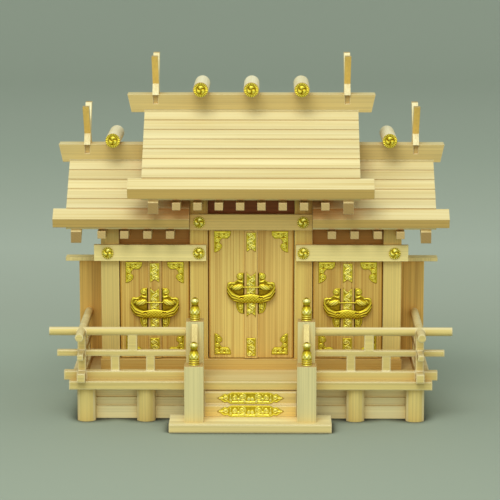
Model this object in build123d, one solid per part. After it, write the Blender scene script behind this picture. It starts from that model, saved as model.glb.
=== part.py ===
"""Three-bay household Shinto shrine in plain cypress with gilt brass fittings, in millimetres.

X runs along the front, +Y to the back and +Z up. Depths are measured from the face of the closed doors
and the finished solids are moved so that the origin is the middle of the footprint, on the ground.
"""

from build123d import *
import math
import os

# Stair: plank, two steps, four posts and the steep handrails between them
PLANK_HALF = 88.0
PLANK_FRONT = -109.5
PLANK_DEPTH = 44.0
PLANK_HEIGHT = 9.4
LOWER_STEP_RISE = 12.8
UPPER_STEP_RISE = 13.8
LOWER_STEP_FRONT = -76.0
UPPER_STEP_FRONT = -70.0
STAIR_POST_X = 61.0
FRONT_POST_SIDE = 20.8
FRONT_POST_GAP = 2.4
FRONT_POST_TOP = 70.8
REAR_POST_SIDE = 19.0
REAR_POST_TOP = 112.5
HANDRAIL_WIDTH = 6.3
HANDRAIL_DROP = 18.0
HANDRAIL_BELOW_CAP = 2.0
STAIR_PLATE_MARGIN = 0.4
# One end of a riser plate, as distances from its middle and parts of its half height
STAIR_PLATE_END = ((21.5, 1.0), (23.0, 0.52), (25.6, 0.8), (28.6, 0.6), (36.5, 0.0))
FINIAL_RADIUS = 5.9
FINIAL_HEIGHT = 25.5

# Deck on its base boards and rounded posts
DECK_HALF = 199.0
DECK_FRONT = -64.5
DECK_TOP = 46.2
DECK_THICK = 9.3
BASE_FRONT = -45.0
BASE_SET_BACK = 3.0
BASE_HALF = 188.0
BASE_WALL = 14.0
BASE_STEPS = (14.2, 9.0)
DECK_POST_WIDTH = 20.0
DECK_POST_DEPTH = 16.0
DECK_POST_X = (115.2, 180.8)

# Railing round the deck
RAIL_Y = -52.5
RAIL_STAND_OFF = 18.3
TOP_RAIL_RADIUS = 4.7
TOP_RAIL_Z = 100.0
MID_RAIL_SIDE = 6.5
MID_RAIL_Z = 76.0
BOTTOM_RAIL_HEIGHT = 10.0
BOTTOM_RAIL_DEPTH = 9.0
TOP_RAIL_REACH = 35.4
MID_RAIL_REACH = 27.1
BOTTOM_RAIL_REACH = 19.7
LOWER_STRUT = 9.6
UPPER_STRUT = 10.3
CORNER_STRUT = 9.0
FRONT_LOWER_STRUTS = (110.0, 148.8)
FRONT_UPPER_STRUT = 129.6
SIDE_LOWER_STRUTS = (-16.0, 22.0)
SIDE_UPPER_STRUT = 3.0

# Wing boards at the sides, each with a cap plank
WING_FRONT = 56.0
WING_THICK = 6.0
WING_PAST_RAIL = 10.8
WING_TOP = 159.3
CAP_OVERHANG = 14.9
CAP_THICK = 4.1
CAP_DEPTH = 17.0

# Body: pillars, walls, sill and floor
PILLAR_FRONT = -2.0
PILLAR_DEPTH = 20.0
MAIN_PILLAR_INNER = 48.2
MAIN_PILLAR_WIDTH = 19.8
SIDE_BAY_WIDTH = 79.0
OUTER_PILLAR_WIDTH = 20.0
BODY_DEPTH = 102.0
WALL = 7.0
BACK_WALL = 6.0
SILL_FRONT = -6.0
SILL_HEIGHT = 11.6
SILL_OVERHANG = 1.2
FLOOR_THICK = 8.0
HEAD_BELOW_LINTEL_TOP = 3.5
UPPER_WALL_SET_BACK = 12.0
UPPER_WALL = 6.0
LINTEL_THICK = 6.0
MAIN_LINTEL_BOTTOM = 204.8
MAIN_LINTEL_HEIGHT = 17.6
SIDE_LINTEL_BOTTOM = 170.0
SIDE_LINTEL_HEIGHT = 18.0
SIDE_LINTEL_LAP = 18.2
SIDE_LINTEL_OVERHANG = 7.3
BOSS_RADIUS = 6.25
BOSS_THICK = 2.0
MAIN_BOSS_X = 57.5
SIDE_BOSS_X = (58.0, 159.2)

# Doors: a pair of leaves in each bay, on wooden pivots at their outer edges
LEAF_THICK = 6.0
LEAF_SIDE_GAP = 0.6
LEAF_END_GAP = 0.7
LEAF_MEET_GAP = 0.6
BATTEN_WIDTH = 14.2
BATTEN_THICK = 3.0
BATTEN_TOP_GAP = 1.0
LAP_GAP = 0.3
PIVOT_RADIUS = 1.4
PIVOT_LENGTH = 3.0
PIVOT_FIT = 0.25
PLATE = 0.9
CORNER_PLATE_WIDTH = 18.6
CORNER_PLATE_HEIGHT = 24.0
CORNER_PLATE_INSET = 7.0
CORNER_PLATE_TOP_GAP = 2.2
CORNER_PLATE_FOOT_GAP = 3.7
BATTEN_PLATE_WIDTH = 10.4
BATTEN_PLATE_HEIGHT = 21.2
BATTEN_PLATE_MARGIN = 1.5
LOCK_HEIGHT = 48.0
LOCK_CENTRE_MAIN = 131.0
LOCK_CENTRE_SIDE = 113.5
LOCK_BAR_THICK = 2.2
CROSS_BAR_HALF = 10.0
CROSS_BAR_RISE = 8.1
CROSS_BAR_SIDE = 1.7
# Outlines on the lock, as distances across from the middle and up from its centre
BOAT_UPPER = ((26.6, 11.8), (21.4, 4.0), (13.0, -0.4), (6.0, 0.8), (0, 1.5))
BOAT_LOWER = ((26.6, 11.8), (27.0, 3.5), (24.2, -3.2), (17.4, -8.2), (8.0, -9.2), (0, -9.2))
WING_PLATE = (
    (7.6, 24.0),
    (12.4, 24.4),
    (14.6, 21.5),
    (14.2, 18.0),
    (11.8, 15.4),
    (15.6, 13.4),
    (20.0, 12.8),
    (23.6, 10.8),
    (24.8, 6.0),
    (23.2, -1.0),
    (17.6, -7.4),
    (15.0, -10.4),
    (14.6, -15.0),
    (11.4, -21.6),
    (7.6, -22.4),
)

# Roofs: slope boards with lapped strips, eave boards, rafters, bargeboards and ridge covers
SLOPE = 40.0
RIDGE_WIDTH = 22.0
RIDGE_HEIGHT = 17.5
RIDGE_LIP = 2.5
RIDGE_END_SLANT = 4.5
SLOPE_BOARD = 4.5
STRIP_LAP = 1.3
EAVE_WIDTH = 16.8
EAVE_FACE_TILT = 20.0
BOARD_SET_BACK = 2.0
BACK_EAVE_OVERHANG = 8.0
RAFTER_WIDTH = 8.9
RAFTER_HEIGHT = 7.8
RAFTER_SET_BACK = 3.0
BARGE_THICK = 11.5
BARGE_DEPTH = 9.5
BARGE_FRONT = 3.0
MAIN_EAVE_Y = -52.0
MAIN_EAVE_ABOVE_LINTEL = 35.1
MAIN_EAVE_THICK = 11.5
MAIN_EAVE_HALF = 134.4
MAIN_SLOPE_HALF = 119.4
MAIN_RIDGE_HALF = 138.5
MAIN_BARGE_X = 106.6
MAIN_RAFTER_X = (11.6, 34.8, 58.0, 81.2)
MAIN_STRIPS = 7
SIDE_EAVE_Y = -29.4
SIDE_EAVE_ABOVE_LINTEL = 32.4
SIDE_EAVE_THICK = 9.8
SIDE_EAVE_OUTER = 218.0
SIDE_SLOPE_OUTER = 203.8
SIDE_RIDGE_OUTER = 216.0
SIDE_BARGE_X = 192.6
SIDE_RAFTER_X = (89.0, 114.0, 139.5, 164.5)
SIDE_STRIPS = 5

# Ridge ornaments: round logs with gilt caps and crossed finials
MAIN_LOG_RADIUS = 8.7
SIDE_LOG_RADIUS = 8.25
LOG_LENGTH = 73.0
LOG_SEAT = 1.0
LOG_CAP_RADIUS = 8.0
LOG_CAP_THICK = 1.2
MAIN_LOG_X = 55.9
SIDE_LOG_X = 153.6
CHIGI_WIDTH = 7.0
CHIGI_DEPTH = 9.0
CHIGI_ANGLE = 56.0
CHIGI_CROSS = 11.5
CHIGI_RISE = 44.0
CHIGI_LEG = 0.5
CHIGI_NOTCH_WIDTH = 5.4
CHIGI_NOTCH_HEIGHT = 10.0
CHIGI_NOTCH_DEPTH = 2.5
MAIN_CHIGI_X = 107.0
SIDE_CHIGI_X = 184.0

# Places worked out from the sizes above
MAIN_PILLAR_OUTER = MAIN_PILLAR_INNER + MAIN_PILLAR_WIDTH
OUTER_PILLAR_INNER = MAIN_PILLAR_OUTER + SIDE_BAY_WIDTH
OUTER_PILLAR_OUTER = OUTER_PILLAR_INNER + OUTER_PILLAR_WIDTH
RAIL_X = OUTER_PILLAR_OUTER + RAIL_STAND_OFF
WING_OUTER = RAIL_X + WING_PAST_RAIL
MAIN_EAVE_Z = MAIN_LINTEL_BOTTOM + MAIN_LINTEL_HEIGHT + MAIN_EAVE_ABOVE_LINTEL
SIDE_EAVE_Z = SIDE_LINTEL_BOTTOM + SIDE_LINTEL_HEIGHT + SIDE_EAVE_ABOVE_LINTEL
RIDGE_Y = PILLAR_FRONT + BODY_DEPTH / 2
BODY_BACK = PILLAR_FRONT + BODY_DEPTH
SILL_TOP = DECK_TOP + SILL_HEIGHT
FLOOR_TOP = DECK_TOP + FLOOR_THICK
DECK_UNDER = DECK_TOP - DECK_THICK
PIVOT_Y = LEAF_THICK / 2
UPPER_WALL_FRONT = PILLAR_FRONT + UPPER_WALL_SET_BACK
ROOF_BACK = 2 * RIDGE_Y - MAIN_EAVE_Y
FOOTPRINT_MIDDLE = (PLANK_FRONT + ROOF_BACK) / 2
TURN = math.radians(SLOPE)


def block(x, y, z):
    """A box between the pairs of limits x, y and z."""
    limits = (x, y, z)
    middle = [(low + high) / 2 for low, high in limits]
    size = [high - low for low, high in limits]
    return Pos(*middle) * Box(*size)


def along_x(points, x0, x1):
    """A prism from x0 to x1 over an outline of (y, z) points."""
    outline = make_face(Polyline(*[(x0, y, z) for y, z in points], close=True))
    return extrude(outline, amount=x1 - x0, dir=(1, 0, 0))


def along_y(points, y0, y1):
    """A prism from y0 to y1 over an outline of (x, z) points."""
    outline = make_face(Polyline(*[(x, y0, z) for x, z in points], close=True))
    return extrude(outline, amount=y1 - y0, dir=(0, 1, 0))


def rod_x(radius, x0, x1, y, z):
    return Pos((x0 + x1) / 2, y, z) * Rot(0, 90, 0) * Cylinder(radius, x1 - x0)


def rod_y(radius, x, y0, y1, z):
    return Pos(x, (y0 + y1) / 2, z) * Rot(90, 0, 0) * Cylinder(radius, y1 - y0)


def rod_z(radius, x, y, z0, z1):
    return Pos(x, y, (z0 + z1) / 2) * Cylinder(radius, z1 - z0)


def left(shape):
    """The same shape on the other side of the middle."""
    return mirror(shape, Plane.YZ)


def pair(shape):
    return [shape, left(shape)]


def behind(shape):
    """The same shape on the back slope."""
    return mirror(shape, Plane.XZ.offset(-RIDGE_Y))


def stair():
    """The plank, the two steps behind it, the posts with their finials, and the handrails."""
    plank_y = (PLANK_FRONT, PLANK_FRONT + PLANK_DEPTH)
    plank = block((-PLANK_HALF, PLANK_HALF), plank_y, (0, PLANK_HEIGHT))
    step_half = STAIR_POST_X - FRONT_POST_SIDE / 2
    middle = PLANK_HEIGHT + LOWER_STEP_RISE
    lower = block((-step_half, step_half), (LOWER_STEP_FRONT, BASE_FRONT), (PLANK_HEIGHT, middle))
    top = middle + UPPER_STEP_RISE
    upper = block((-step_half, step_half), (UPPER_STEP_FRONT, BASE_FRONT), (middle, top))
    front_back = LOWER_STEP_FRONT - FRONT_POST_GAP
    half = FRONT_POST_SIDE / 2
    front_post = block(
        (STAIR_POST_X - half, STAIR_POST_X + half),
        (front_back - FRONT_POST_SIDE, front_back),
        (PLANK_HEIGHT, FRONT_POST_TOP),
    )
    rear_half = REAR_POST_SIDE / 2
    rear_front = RAIL_Y - rear_half
    rear_post = block(
        (STAIR_POST_X - rear_half, STAIR_POST_X + rear_half),
        (rear_front, rear_front + REAR_POST_SIDE),
        (DECK_TOP, REAR_POST_TOP),
    )
    upper_end = REAR_POST_TOP - HANDRAIL_BELOW_CAP
    lower_end = FRONT_POST_TOP - HANDRAIL_BELOW_CAP
    rail = [
        (rear_front, upper_end),
        (rear_front, upper_end - HANDRAIL_DROP),
        (front_back, lower_end - HANDRAIL_DROP),
        (front_back, lower_end),
    ]
    handrail = along_x(rail, STAIR_POST_X - HANDRAIL_WIDTH / 2, STAIR_POST_X + HANDRAIL_WIDTH / 2)
    tops = ((front_back - half, FRONT_POST_TOP), (rear_front + rear_half, REAR_POST_TOP))
    finials = [shape for y, z in tops for shape in pair(Pos(STAIR_POST_X, y, z) * finial())]
    return {
        "base_plank": [plank],
        "stair_steps": [lower + upper],
        "stair_posts": pair(front_post) + pair(rear_post),
        "stair_handrails": pair(handrail),
        "post_finials": finials,
    }


def finial():
    """An onion-topped post cap: foot, ringed body, flared shoulder, neck and round bulb with a small tip."""
    radius = FINIAL_RADIUS
    height = FINIAL_HEIGHT
    body = 0.90 * radius
    neck = 0.45 * radius
    bulb = 0.80 * radius
    rings = [
        (0, 0),
        (radius, 0),
        (radius, 0.05 * height),
        (body, 0.07 * height),
        (body, 0.11 * height),
        (0.97 * radius, 0.14 * height),
        (body, 0.17 * height),
        (body, 0.21 * height),
        (0.97 * radius, 0.24 * height),
        (body, 0.27 * height),
        (body, 0.40 * height),
    ]
    arcs = [
        (rings[-1], (0.97 * radius, 0.46 * height), (0.86 * radius, 0.52 * height)),
        ((0.86 * radius, 0.52 * height), (0.56 * radius, 0.57 * height), (neck, 0.64 * height)),
        ((neck, 0.64 * height), (0.72 * radius, 0.73 * height), (bulb, 0.83 * height)),
        ((bulb, 0.83 * height), (0.62 * radius, 0.93 * height), (0.16 * radius, 0.97 * height)),
        ((0.16 * radius, 0.97 * height), (0.12 * radius, 0.985 * height), (0, height)),
    ]
    return turned(rings, arcs)


def turned(points, arcs):
    """A turned solid: its (radius, height) outline starts as straight runs and curves on to the axis."""
    edges = [Line((a[0], 0, a[1]), (b[0], 0, b[1])) for a, b in zip(points, points[1:])]
    for arc in arcs:
        edges.append(Spline(*[(r, 0, z) for r, z in arc]))
    top = arcs[-1][-1]
    edges.append(Line((top[0], 0, top[1]), (points[0][0], 0, points[0][1])))
    return revolve(make_face(edges), Axis.Z)


def stair_plates():
    """A cusped gilt plate on the riser of each step."""
    middle = PLANK_HEIGHT + LOWER_STEP_RISE
    low = riser_plate(LOWER_STEP_FRONT, (PLANK_HEIGHT + middle) / 2, LOWER_STEP_RISE)
    high = riser_plate(UPPER_STEP_FRONT, middle + UPPER_STEP_RISE / 2, UPPER_STEP_RISE)
    return [low, high]


def riser_plate(y, z, rise):
    """A long plate with a small leaf between its body and the point at each end."""
    half = rise / 2 - STAIR_PLATE_MARGIN
    right = [(across, part * half) for across, part in STAIR_PLATE_END]
    under = [(x, -h) for x, h in reversed(right[:-1])]
    side = right + under
    outline = side + [(-x, -h) for x, h in side]
    return along_y([(x, z + h) for x, h in outline], y - PLATE, y)


def base():
    """Stepped base boards round the ground, rounded deck posts in front and the deck on top."""
    levels = [0, BASE_STEPS[0], BASE_STEPS[0] + BASE_STEPS[1], DECK_UNDER]
    front = []
    side = []
    back_out = BODY_BACK
    for index in range(3):
        inset = index * BASE_SET_BACK
        z = (levels[index], levels[index + 1])
        y0 = BASE_FRONT + inset
        x1 = BASE_HALF - inset
        front.append(block((-x1, x1), (y0, BASE_FRONT + BASE_WALL), z))
        inner = BASE_HALF - BASE_WALL
        side.append(block((inner, x1), (BASE_FRONT + BASE_WALL, back_out), z))
    inner = BASE_HALF - BASE_WALL
    back = block((-inner, inner), (back_out - BASE_WALL, back_out), (0, DECK_UNDER))
    deck = block((-DECK_HALF, DECK_HALF), (DECK_FRONT, BODY_BACK), (DECK_UNDER, DECK_TOP))
    posts = [shape for x in DECK_POST_X for shape in pair(deck_post(x))]
    side_board = side[0] + side[1] + side[2]
    return {
        "base_front_board": [front[0] + front[1] + front[2]],
        "base_side_boards": pair(side_board),
        "base_back_board": [back],
        "deck_posts": posts,
        "deck": [deck],
    }


def deck_post(x):
    """A post with a rounded front."""
    half = DECK_POST_WIDTH / 2
    front = BASE_FRONT - DECK_POST_DEPTH
    edges = [
        Line((x - half, BASE_FRONT), (x + half, BASE_FRONT)),
        Line((x + half, BASE_FRONT), (x + half, front + half * 0.6)),
        ThreePointArc((x + half, front + half * 0.6), (x, front), (x - half, front + half * 0.6)),
        Line((x - half, front + half * 0.6), (x - half, BASE_FRONT)),
    ]
    return extrude(make_face(edges), amount=DECK_UNDER, dir=(0, 0, 1))


def railing():
    """One corner of the railing: three rails along the front and side that cross past each other."""
    start = STAIR_POST_X + REAR_POST_SIDE / 2
    mid = MID_RAIL_SIDE / 2
    low = BOTTOM_RAIL_DEPTH / 2
    middle = (MID_RAIL_Z - mid, MID_RAIL_Z + mid)
    bottom = (DECK_TOP, DECK_TOP + BOTTOM_RAIL_HEIGHT)
    lower_gap = (bottom[1], middle[0])
    upper_gap = (middle[1], TOP_RAIL_Z)
    front_rails = [
        rod_x(TOP_RAIL_RADIUS, start, RAIL_X + TOP_RAIL_REACH, RAIL_Y, TOP_RAIL_Z),
        block((start, RAIL_X + MID_RAIL_REACH), (RAIL_Y - mid, RAIL_Y + mid), middle),
        block((start, RAIL_X + BOTTOM_RAIL_REACH), (RAIL_Y - low, RAIL_Y + low), bottom),
    ]
    side_rails = [
        rod_y(TOP_RAIL_RADIUS, RAIL_X, RAIL_Y - TOP_RAIL_REACH, WING_FRONT, TOP_RAIL_Z),
        block((RAIL_X - mid, RAIL_X + mid), (RAIL_Y - MID_RAIL_REACH, WING_FRONT), middle),
        block((RAIL_X - low, RAIL_X + low), (RAIL_Y - BOTTOM_RAIL_REACH, WING_FRONT), bottom),
    ]
    struts = [strut(x, RAIL_Y, LOWER_STRUT, MID_RAIL_SIDE, lower_gap) for x in FRONT_LOWER_STRUTS]
    struts += [strut(RAIL_X, y, MID_RAIL_SIDE, LOWER_STRUT, lower_gap) for y in SIDE_LOWER_STRUTS]
    struts.append(strut(RAIL_X, RAIL_Y, CORNER_STRUT, CORNER_STRUT, lower_gap))
    upper = [
        strut(FRONT_UPPER_STRUT, RAIL_Y, UPPER_STRUT, MID_RAIL_SIDE, upper_gap),
        strut(RAIL_X, SIDE_UPPER_STRUT, MID_RAIL_SIDE, UPPER_STRUT, upper_gap),
        strut(RAIL_X, RAIL_Y, CORNER_STRUT, CORNER_STRUT, upper_gap),
    ]
    crossed = [side - front for side, front in zip(side_rails, front_rails)]
    for one in upper:
        struts.append(one - front_rails[0] - side_rails[0])
    return front_rails + crossed + struts


def strut(x, y, width, depth, z):
    return block((x - width / 2, x + width / 2), (y - depth / 2, y + depth / 2), z)


def wing():
    """A thin board beside the body, with a cap plank on top."""
    y = (WING_FRONT, WING_FRONT + WING_THICK)
    board = block((OUTER_PILLAR_OUTER, WING_OUTER), y, (DECK_TOP, WING_TOP))
    middle = WING_FRONT + WING_THICK / 2
    y = (middle - CAP_DEPTH / 2, middle + CAP_DEPTH / 2)
    z = (WING_TOP, WING_TOP + CAP_THICK)
    cap = block((OUTER_PILLAR_OUTER, WING_OUTER + CAP_OVERHANG), y, z)
    return board + cap


def roof_point(eave, along, depth):
    """A (y, z) point of a front slope: how far up from the eave's edge, and how deep under the surface."""
    y = eave[0] + along * math.cos(TURN) + depth * math.sin(TURN)
    z = eave[1] + along * math.sin(TURN) - depth * math.cos(TURN)
    return y, z


def up_to(eave, y, depth):
    """How far up the slope the plane at y is met, at a depth under the surface."""
    return (y - eave[0] - depth * math.sin(TURN)) / math.cos(TURN)


def under_roof(eave, y, depth):
    """The height at y of the plane that lies at a depth under the roof's surface."""
    return roof_point(eave, up_to(eave, y, depth), depth)[1]


def slope_board(eave, eave_thick, strips, x0, x1):
    """The front slope: a thin board with lapped strips on it, notched at its foot for the eave board."""
    thick = eave_thick + SLOPE_BOARD
    cover_front = up_to(eave, RIDGE_Y - RIDGE_WIDTH / 2, 0)
    pitch = (cover_front - EAVE_WIDTH) / strips
    points = [
        (-BOARD_SET_BACK, eave_thick),
        (-BOARD_SET_BACK, thick),
        (up_to(eave, RIDGE_Y, thick), thick),
        (up_to(eave, RIDGE_Y, 0), 0),
        (cover_front, 0),
    ]
    for index in range(strips, 0, -1):
        top = EAVE_WIDTH + index * pitch
        points.append((top, STRIP_LAP))
        points.append((top - pitch, 0))
    points.append((EAVE_WIDTH, eave_thick))
    return along_x([roof_point(eave, along, depth) for along, depth in points], x0, x1)


def eave_board(eave, eave_thick, x0, x1):
    foot = -eave_thick * math.tan(TURN - math.radians(EAVE_FACE_TILT))
    points = [(0, 0), (foot, eave_thick), (EAVE_WIDTH, eave_thick), (EAVE_WIDTH, STRIP_LAP)]
    return along_x([roof_point(eave, along, depth) for along, depth in points], x0, x1)


def rafter(eave, eave_thick, x, wall):
    """A level square bar under the front eave; wall gives the depth that it reaches at a height."""
    top = eave[1] - eave_thick - SLOPE_BOARD
    foot = top - RAFTER_HEIGHT
    tip = eave[0] + RAFTER_SET_BACK
    outline = [(tip, top), (tip, foot), (wall(foot), foot), (wall(top), top)]
    return along_x(outline, x - RAFTER_WIDTH / 2, x + RAFTER_WIDTH / 2)


def to_pillar(z):
    return PILLAR_FRONT


def to_wall(z):
    return UPPER_WALL_FRONT


def to_side_roof(z):
    """Outside the middle bay a main rafter ends on the side roof's slope."""
    return SIDE_EAVE_Y + (z - SIDE_EAVE_Z) / math.tan(TURN)


def bargeboard(eave, eave_thick, x):
    """The pair of bargeboards of one gable, joined at the ridge."""
    top = eave_thick + SLOPE_BOARD
    tip = roof_point(eave, -BOARD_SET_BACK, top)[0] - BARGE_FRONT
    half = [
        (tip, under_roof(eave, tip, top)),
        (tip, under_roof(eave, tip, top + BARGE_DEPTH)),
        (RIDGE_Y, under_roof(eave, RIDGE_Y, top + BARGE_DEPTH)),
    ]
    peak = (RIDGE_Y, under_roof(eave, RIDGE_Y, top))
    back = [(2 * RIDGE_Y - y, z) for y, z in reversed(half[:2])]
    return along_x(half + back + [peak], x - BARGE_THICK / 2, x + BARGE_THICK / 2)


def ridge_top(eave):
    return under_roof(eave, RIDGE_Y - RIDGE_WIDTH / 2, 0) + RIDGE_HEIGHT


def ridge_cover(eave, x0, x1, slant0, slant1):
    """A beam that sits over the ridge, its ends deeper than the middle and slanting in to the bottom."""
    front = RIDGE_Y - RIDGE_WIDTH / 2
    back = RIDGE_Y + RIDGE_WIDTH / 2
    foot = under_roof(eave, front, 0) - RIDGE_LIP
    top = ridge_top(eave)
    beam = block((x0, x1), (front, back), (foot, top))
    ends = [(x0, top), (x1, top), (x1 - slant1, foot), (x0 + slant0, foot)]
    return beam & along_y(ends, front, back)


def log(x, radius, top):
    return rod_y(radius, x, RIDGE_Y - LOG_LENGTH / 2, RIDGE_Y + LOG_LENGTH / 2, top - LOG_SEAT + radius)


def log_caps(x, radius, top):
    """The gilt discs on both ends of a log."""
    z = top - LOG_SEAT + radius
    front = RIDGE_Y - LOG_LENGTH / 2
    cap = rod_y(LOG_CAP_RADIUS, x, front - LOG_CAP_THICK, front, z)
    return [cap, behind(cap)]


def chigi_notch(x, top):
    """The notch in the cover's front face, just under a chigi's foot."""
    half = CHIGI_NOTCH_WIDTH / 2
    front = RIDGE_Y - RIDGE_WIDTH / 2
    under = top - CHIGI_LEG
    z = (under - CHIGI_NOTCH_HEIGHT, under)
    return block((x - half, x + half), (front, front + CHIGI_NOTCH_DEPTH), z)


def chigi(x, top, cover):
    """Crossed boards that stand on the ridge cover, their feet lapping its top edges."""
    angle = math.radians(CHIGI_ANGLE)
    centre = top + CHIGI_CROSS
    high = top + CHIGI_RISE
    low = top - CHIGI_LEG
    half = CHIGI_DEPTH / 2 / math.sin(angle)
    up = (high - centre) / math.tan(angle)
    down = (centre - low) / math.tan(angle)
    arm = [
        (RIDGE_Y - down - half, low),
        (RIDGE_Y - down + half, low),
        (RIDGE_Y + up + half, high),
        (RIDGE_Y + up - half, high),
    ]
    board = along_x(arm, x - CHIGI_WIDTH / 2, x + CHIGI_WIDTH / 2)
    crossed = board + behind(board)
    return crossed - cover


def roofs():
    """The tall middle roof and the two lower side roofs that butt against the middle bay."""
    main = (MAIN_EAVE_Y, MAIN_EAVE_Z)
    side = (SIDE_EAVE_Y, SIDE_EAVE_Z)
    main_slope = slope_board(main, MAIN_EAVE_THICK, MAIN_STRIPS, -MAIN_SLOPE_HALF, MAIN_SLOPE_HALF)
    main_eave = eave_board(main, MAIN_EAVE_THICK, -MAIN_EAVE_HALF, MAIN_EAVE_HALF)
    side_slope = slope_board(side, SIDE_EAVE_THICK, SIDE_STRIPS, MAIN_PILLAR_OUTER, SIDE_SLOPE_OUTER)
    side_eave = eave_board(side, SIDE_EAVE_THICK, MAIN_PILLAR_OUTER, SIDE_EAVE_OUTER)
    back_eave = eave_board(side, SIDE_EAVE_THICK, MAIN_PILLAR_OUTER, SIDE_SLOPE_OUTER + BACK_EAVE_OVERHANG)
    rafters = []
    bars = [(main, MAIN_EAVE_THICK, x) for x in MAIN_RAFTER_X]
    bars += [(side, SIDE_EAVE_THICK, x) for x in SIDE_RAFTER_X]
    for eave, eave_thick, x in bars:
        on_pillar = x > OUTER_PILLAR_INNER or MAIN_PILLAR_INNER < x < MAIN_PILLAR_OUTER
        front_end = to_pillar if on_pillar else to_wall
        back_end = to_pillar
        if eave == main and x > MAIN_PILLAR_OUTER:
            front_end = back_end = to_side_roof
        rafters += pair(rafter(eave, eave_thick, x, front_end))
        rafters += pair(behind(rafter(eave, eave_thick, x, back_end)))
    barges = pair(bargeboard(main, MAIN_EAVE_THICK, MAIN_BARGE_X))
    barges += pair(bargeboard(side, SIDE_EAVE_THICK, SIDE_BARGE_X))
    main_cover = ridge_cover(main, -MAIN_RIDGE_HALF, MAIN_RIDGE_HALF, RIDGE_END_SLANT, RIDGE_END_SLANT)
    side_cover = ridge_cover(side, MAIN_PILLAR_OUTER, SIDE_RIDGE_OUTER, 0, RIDGE_END_SLANT)
    main_cover = main_cover - main_slope - behind(main_slope)
    side_cover = side_cover - side_slope - behind(side_slope)
    main_top = ridge_top(main)
    side_top = ridge_top(side)
    crossed = pair(chigi(MAIN_CHIGI_X, main_top, main_cover))
    crossed += pair(chigi(SIDE_CHIGI_X, side_top, side_cover))
    logs = [log(x, MAIN_LOG_RADIUS, main_top) for x in (-MAIN_LOG_X, 0, MAIN_LOG_X)]
    logs += pair(log(SIDE_LOG_X, SIDE_LOG_RADIUS, side_top))
    caps = []
    for x in (-MAIN_LOG_X, 0, MAIN_LOG_X):
        caps += log_caps(x, MAIN_LOG_RADIUS, main_top)
    for cap in log_caps(SIDE_LOG_X, SIDE_LOG_RADIUS, side_top):
        caps += pair(cap)
    for notch in pair(chigi_notch(MAIN_CHIGI_X, main_top)):
        main_cover = main_cover - notch - behind(notch)
    notch = chigi_notch(SIDE_CHIGI_X, side_top)
    side_cover = side_cover - notch - behind(notch)
    for one in logs:
        main_cover -= one
    side_cover -= log(SIDE_LOG_X, SIDE_LOG_RADIUS, side_top)
    return {
        "main_roof_front": [main_slope],
        "main_roof_back": [behind(main_slope)],
        "main_eave_boards": [main_eave, behind(main_eave)],
        "side_roofs_front": pair(side_slope),
        "side_roofs_back": pair(behind(side_slope)),
        "side_eave_boards": pair(side_eave) + pair(behind(back_eave)),
        "rafters": rafters,
        "bargeboards": barges,
        "ridge_covers": [main_cover] + pair(side_cover),
        "ridge_logs": logs,
        "log_caps": caps,
        "chigi": crossed,
    }


def wall_outline(eave, thick, y0, y1, foot):
    """The (y, z) outline of a wall across the roof, with its top under the slopes."""
    outline = [(y0, foot), (y1, foot)]
    outline.append((y1, under_roof(eave, min(y1, 2 * RIDGE_Y - y1), thick)))
    if y0 < RIDGE_Y < y1:
        outline.append((RIDGE_Y, under_roof(eave, RIDGE_Y, thick)))
    outline.append((y0, under_roof(eave, min(y0, 2 * RIDGE_Y - y0), thick)))
    return outline


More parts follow.
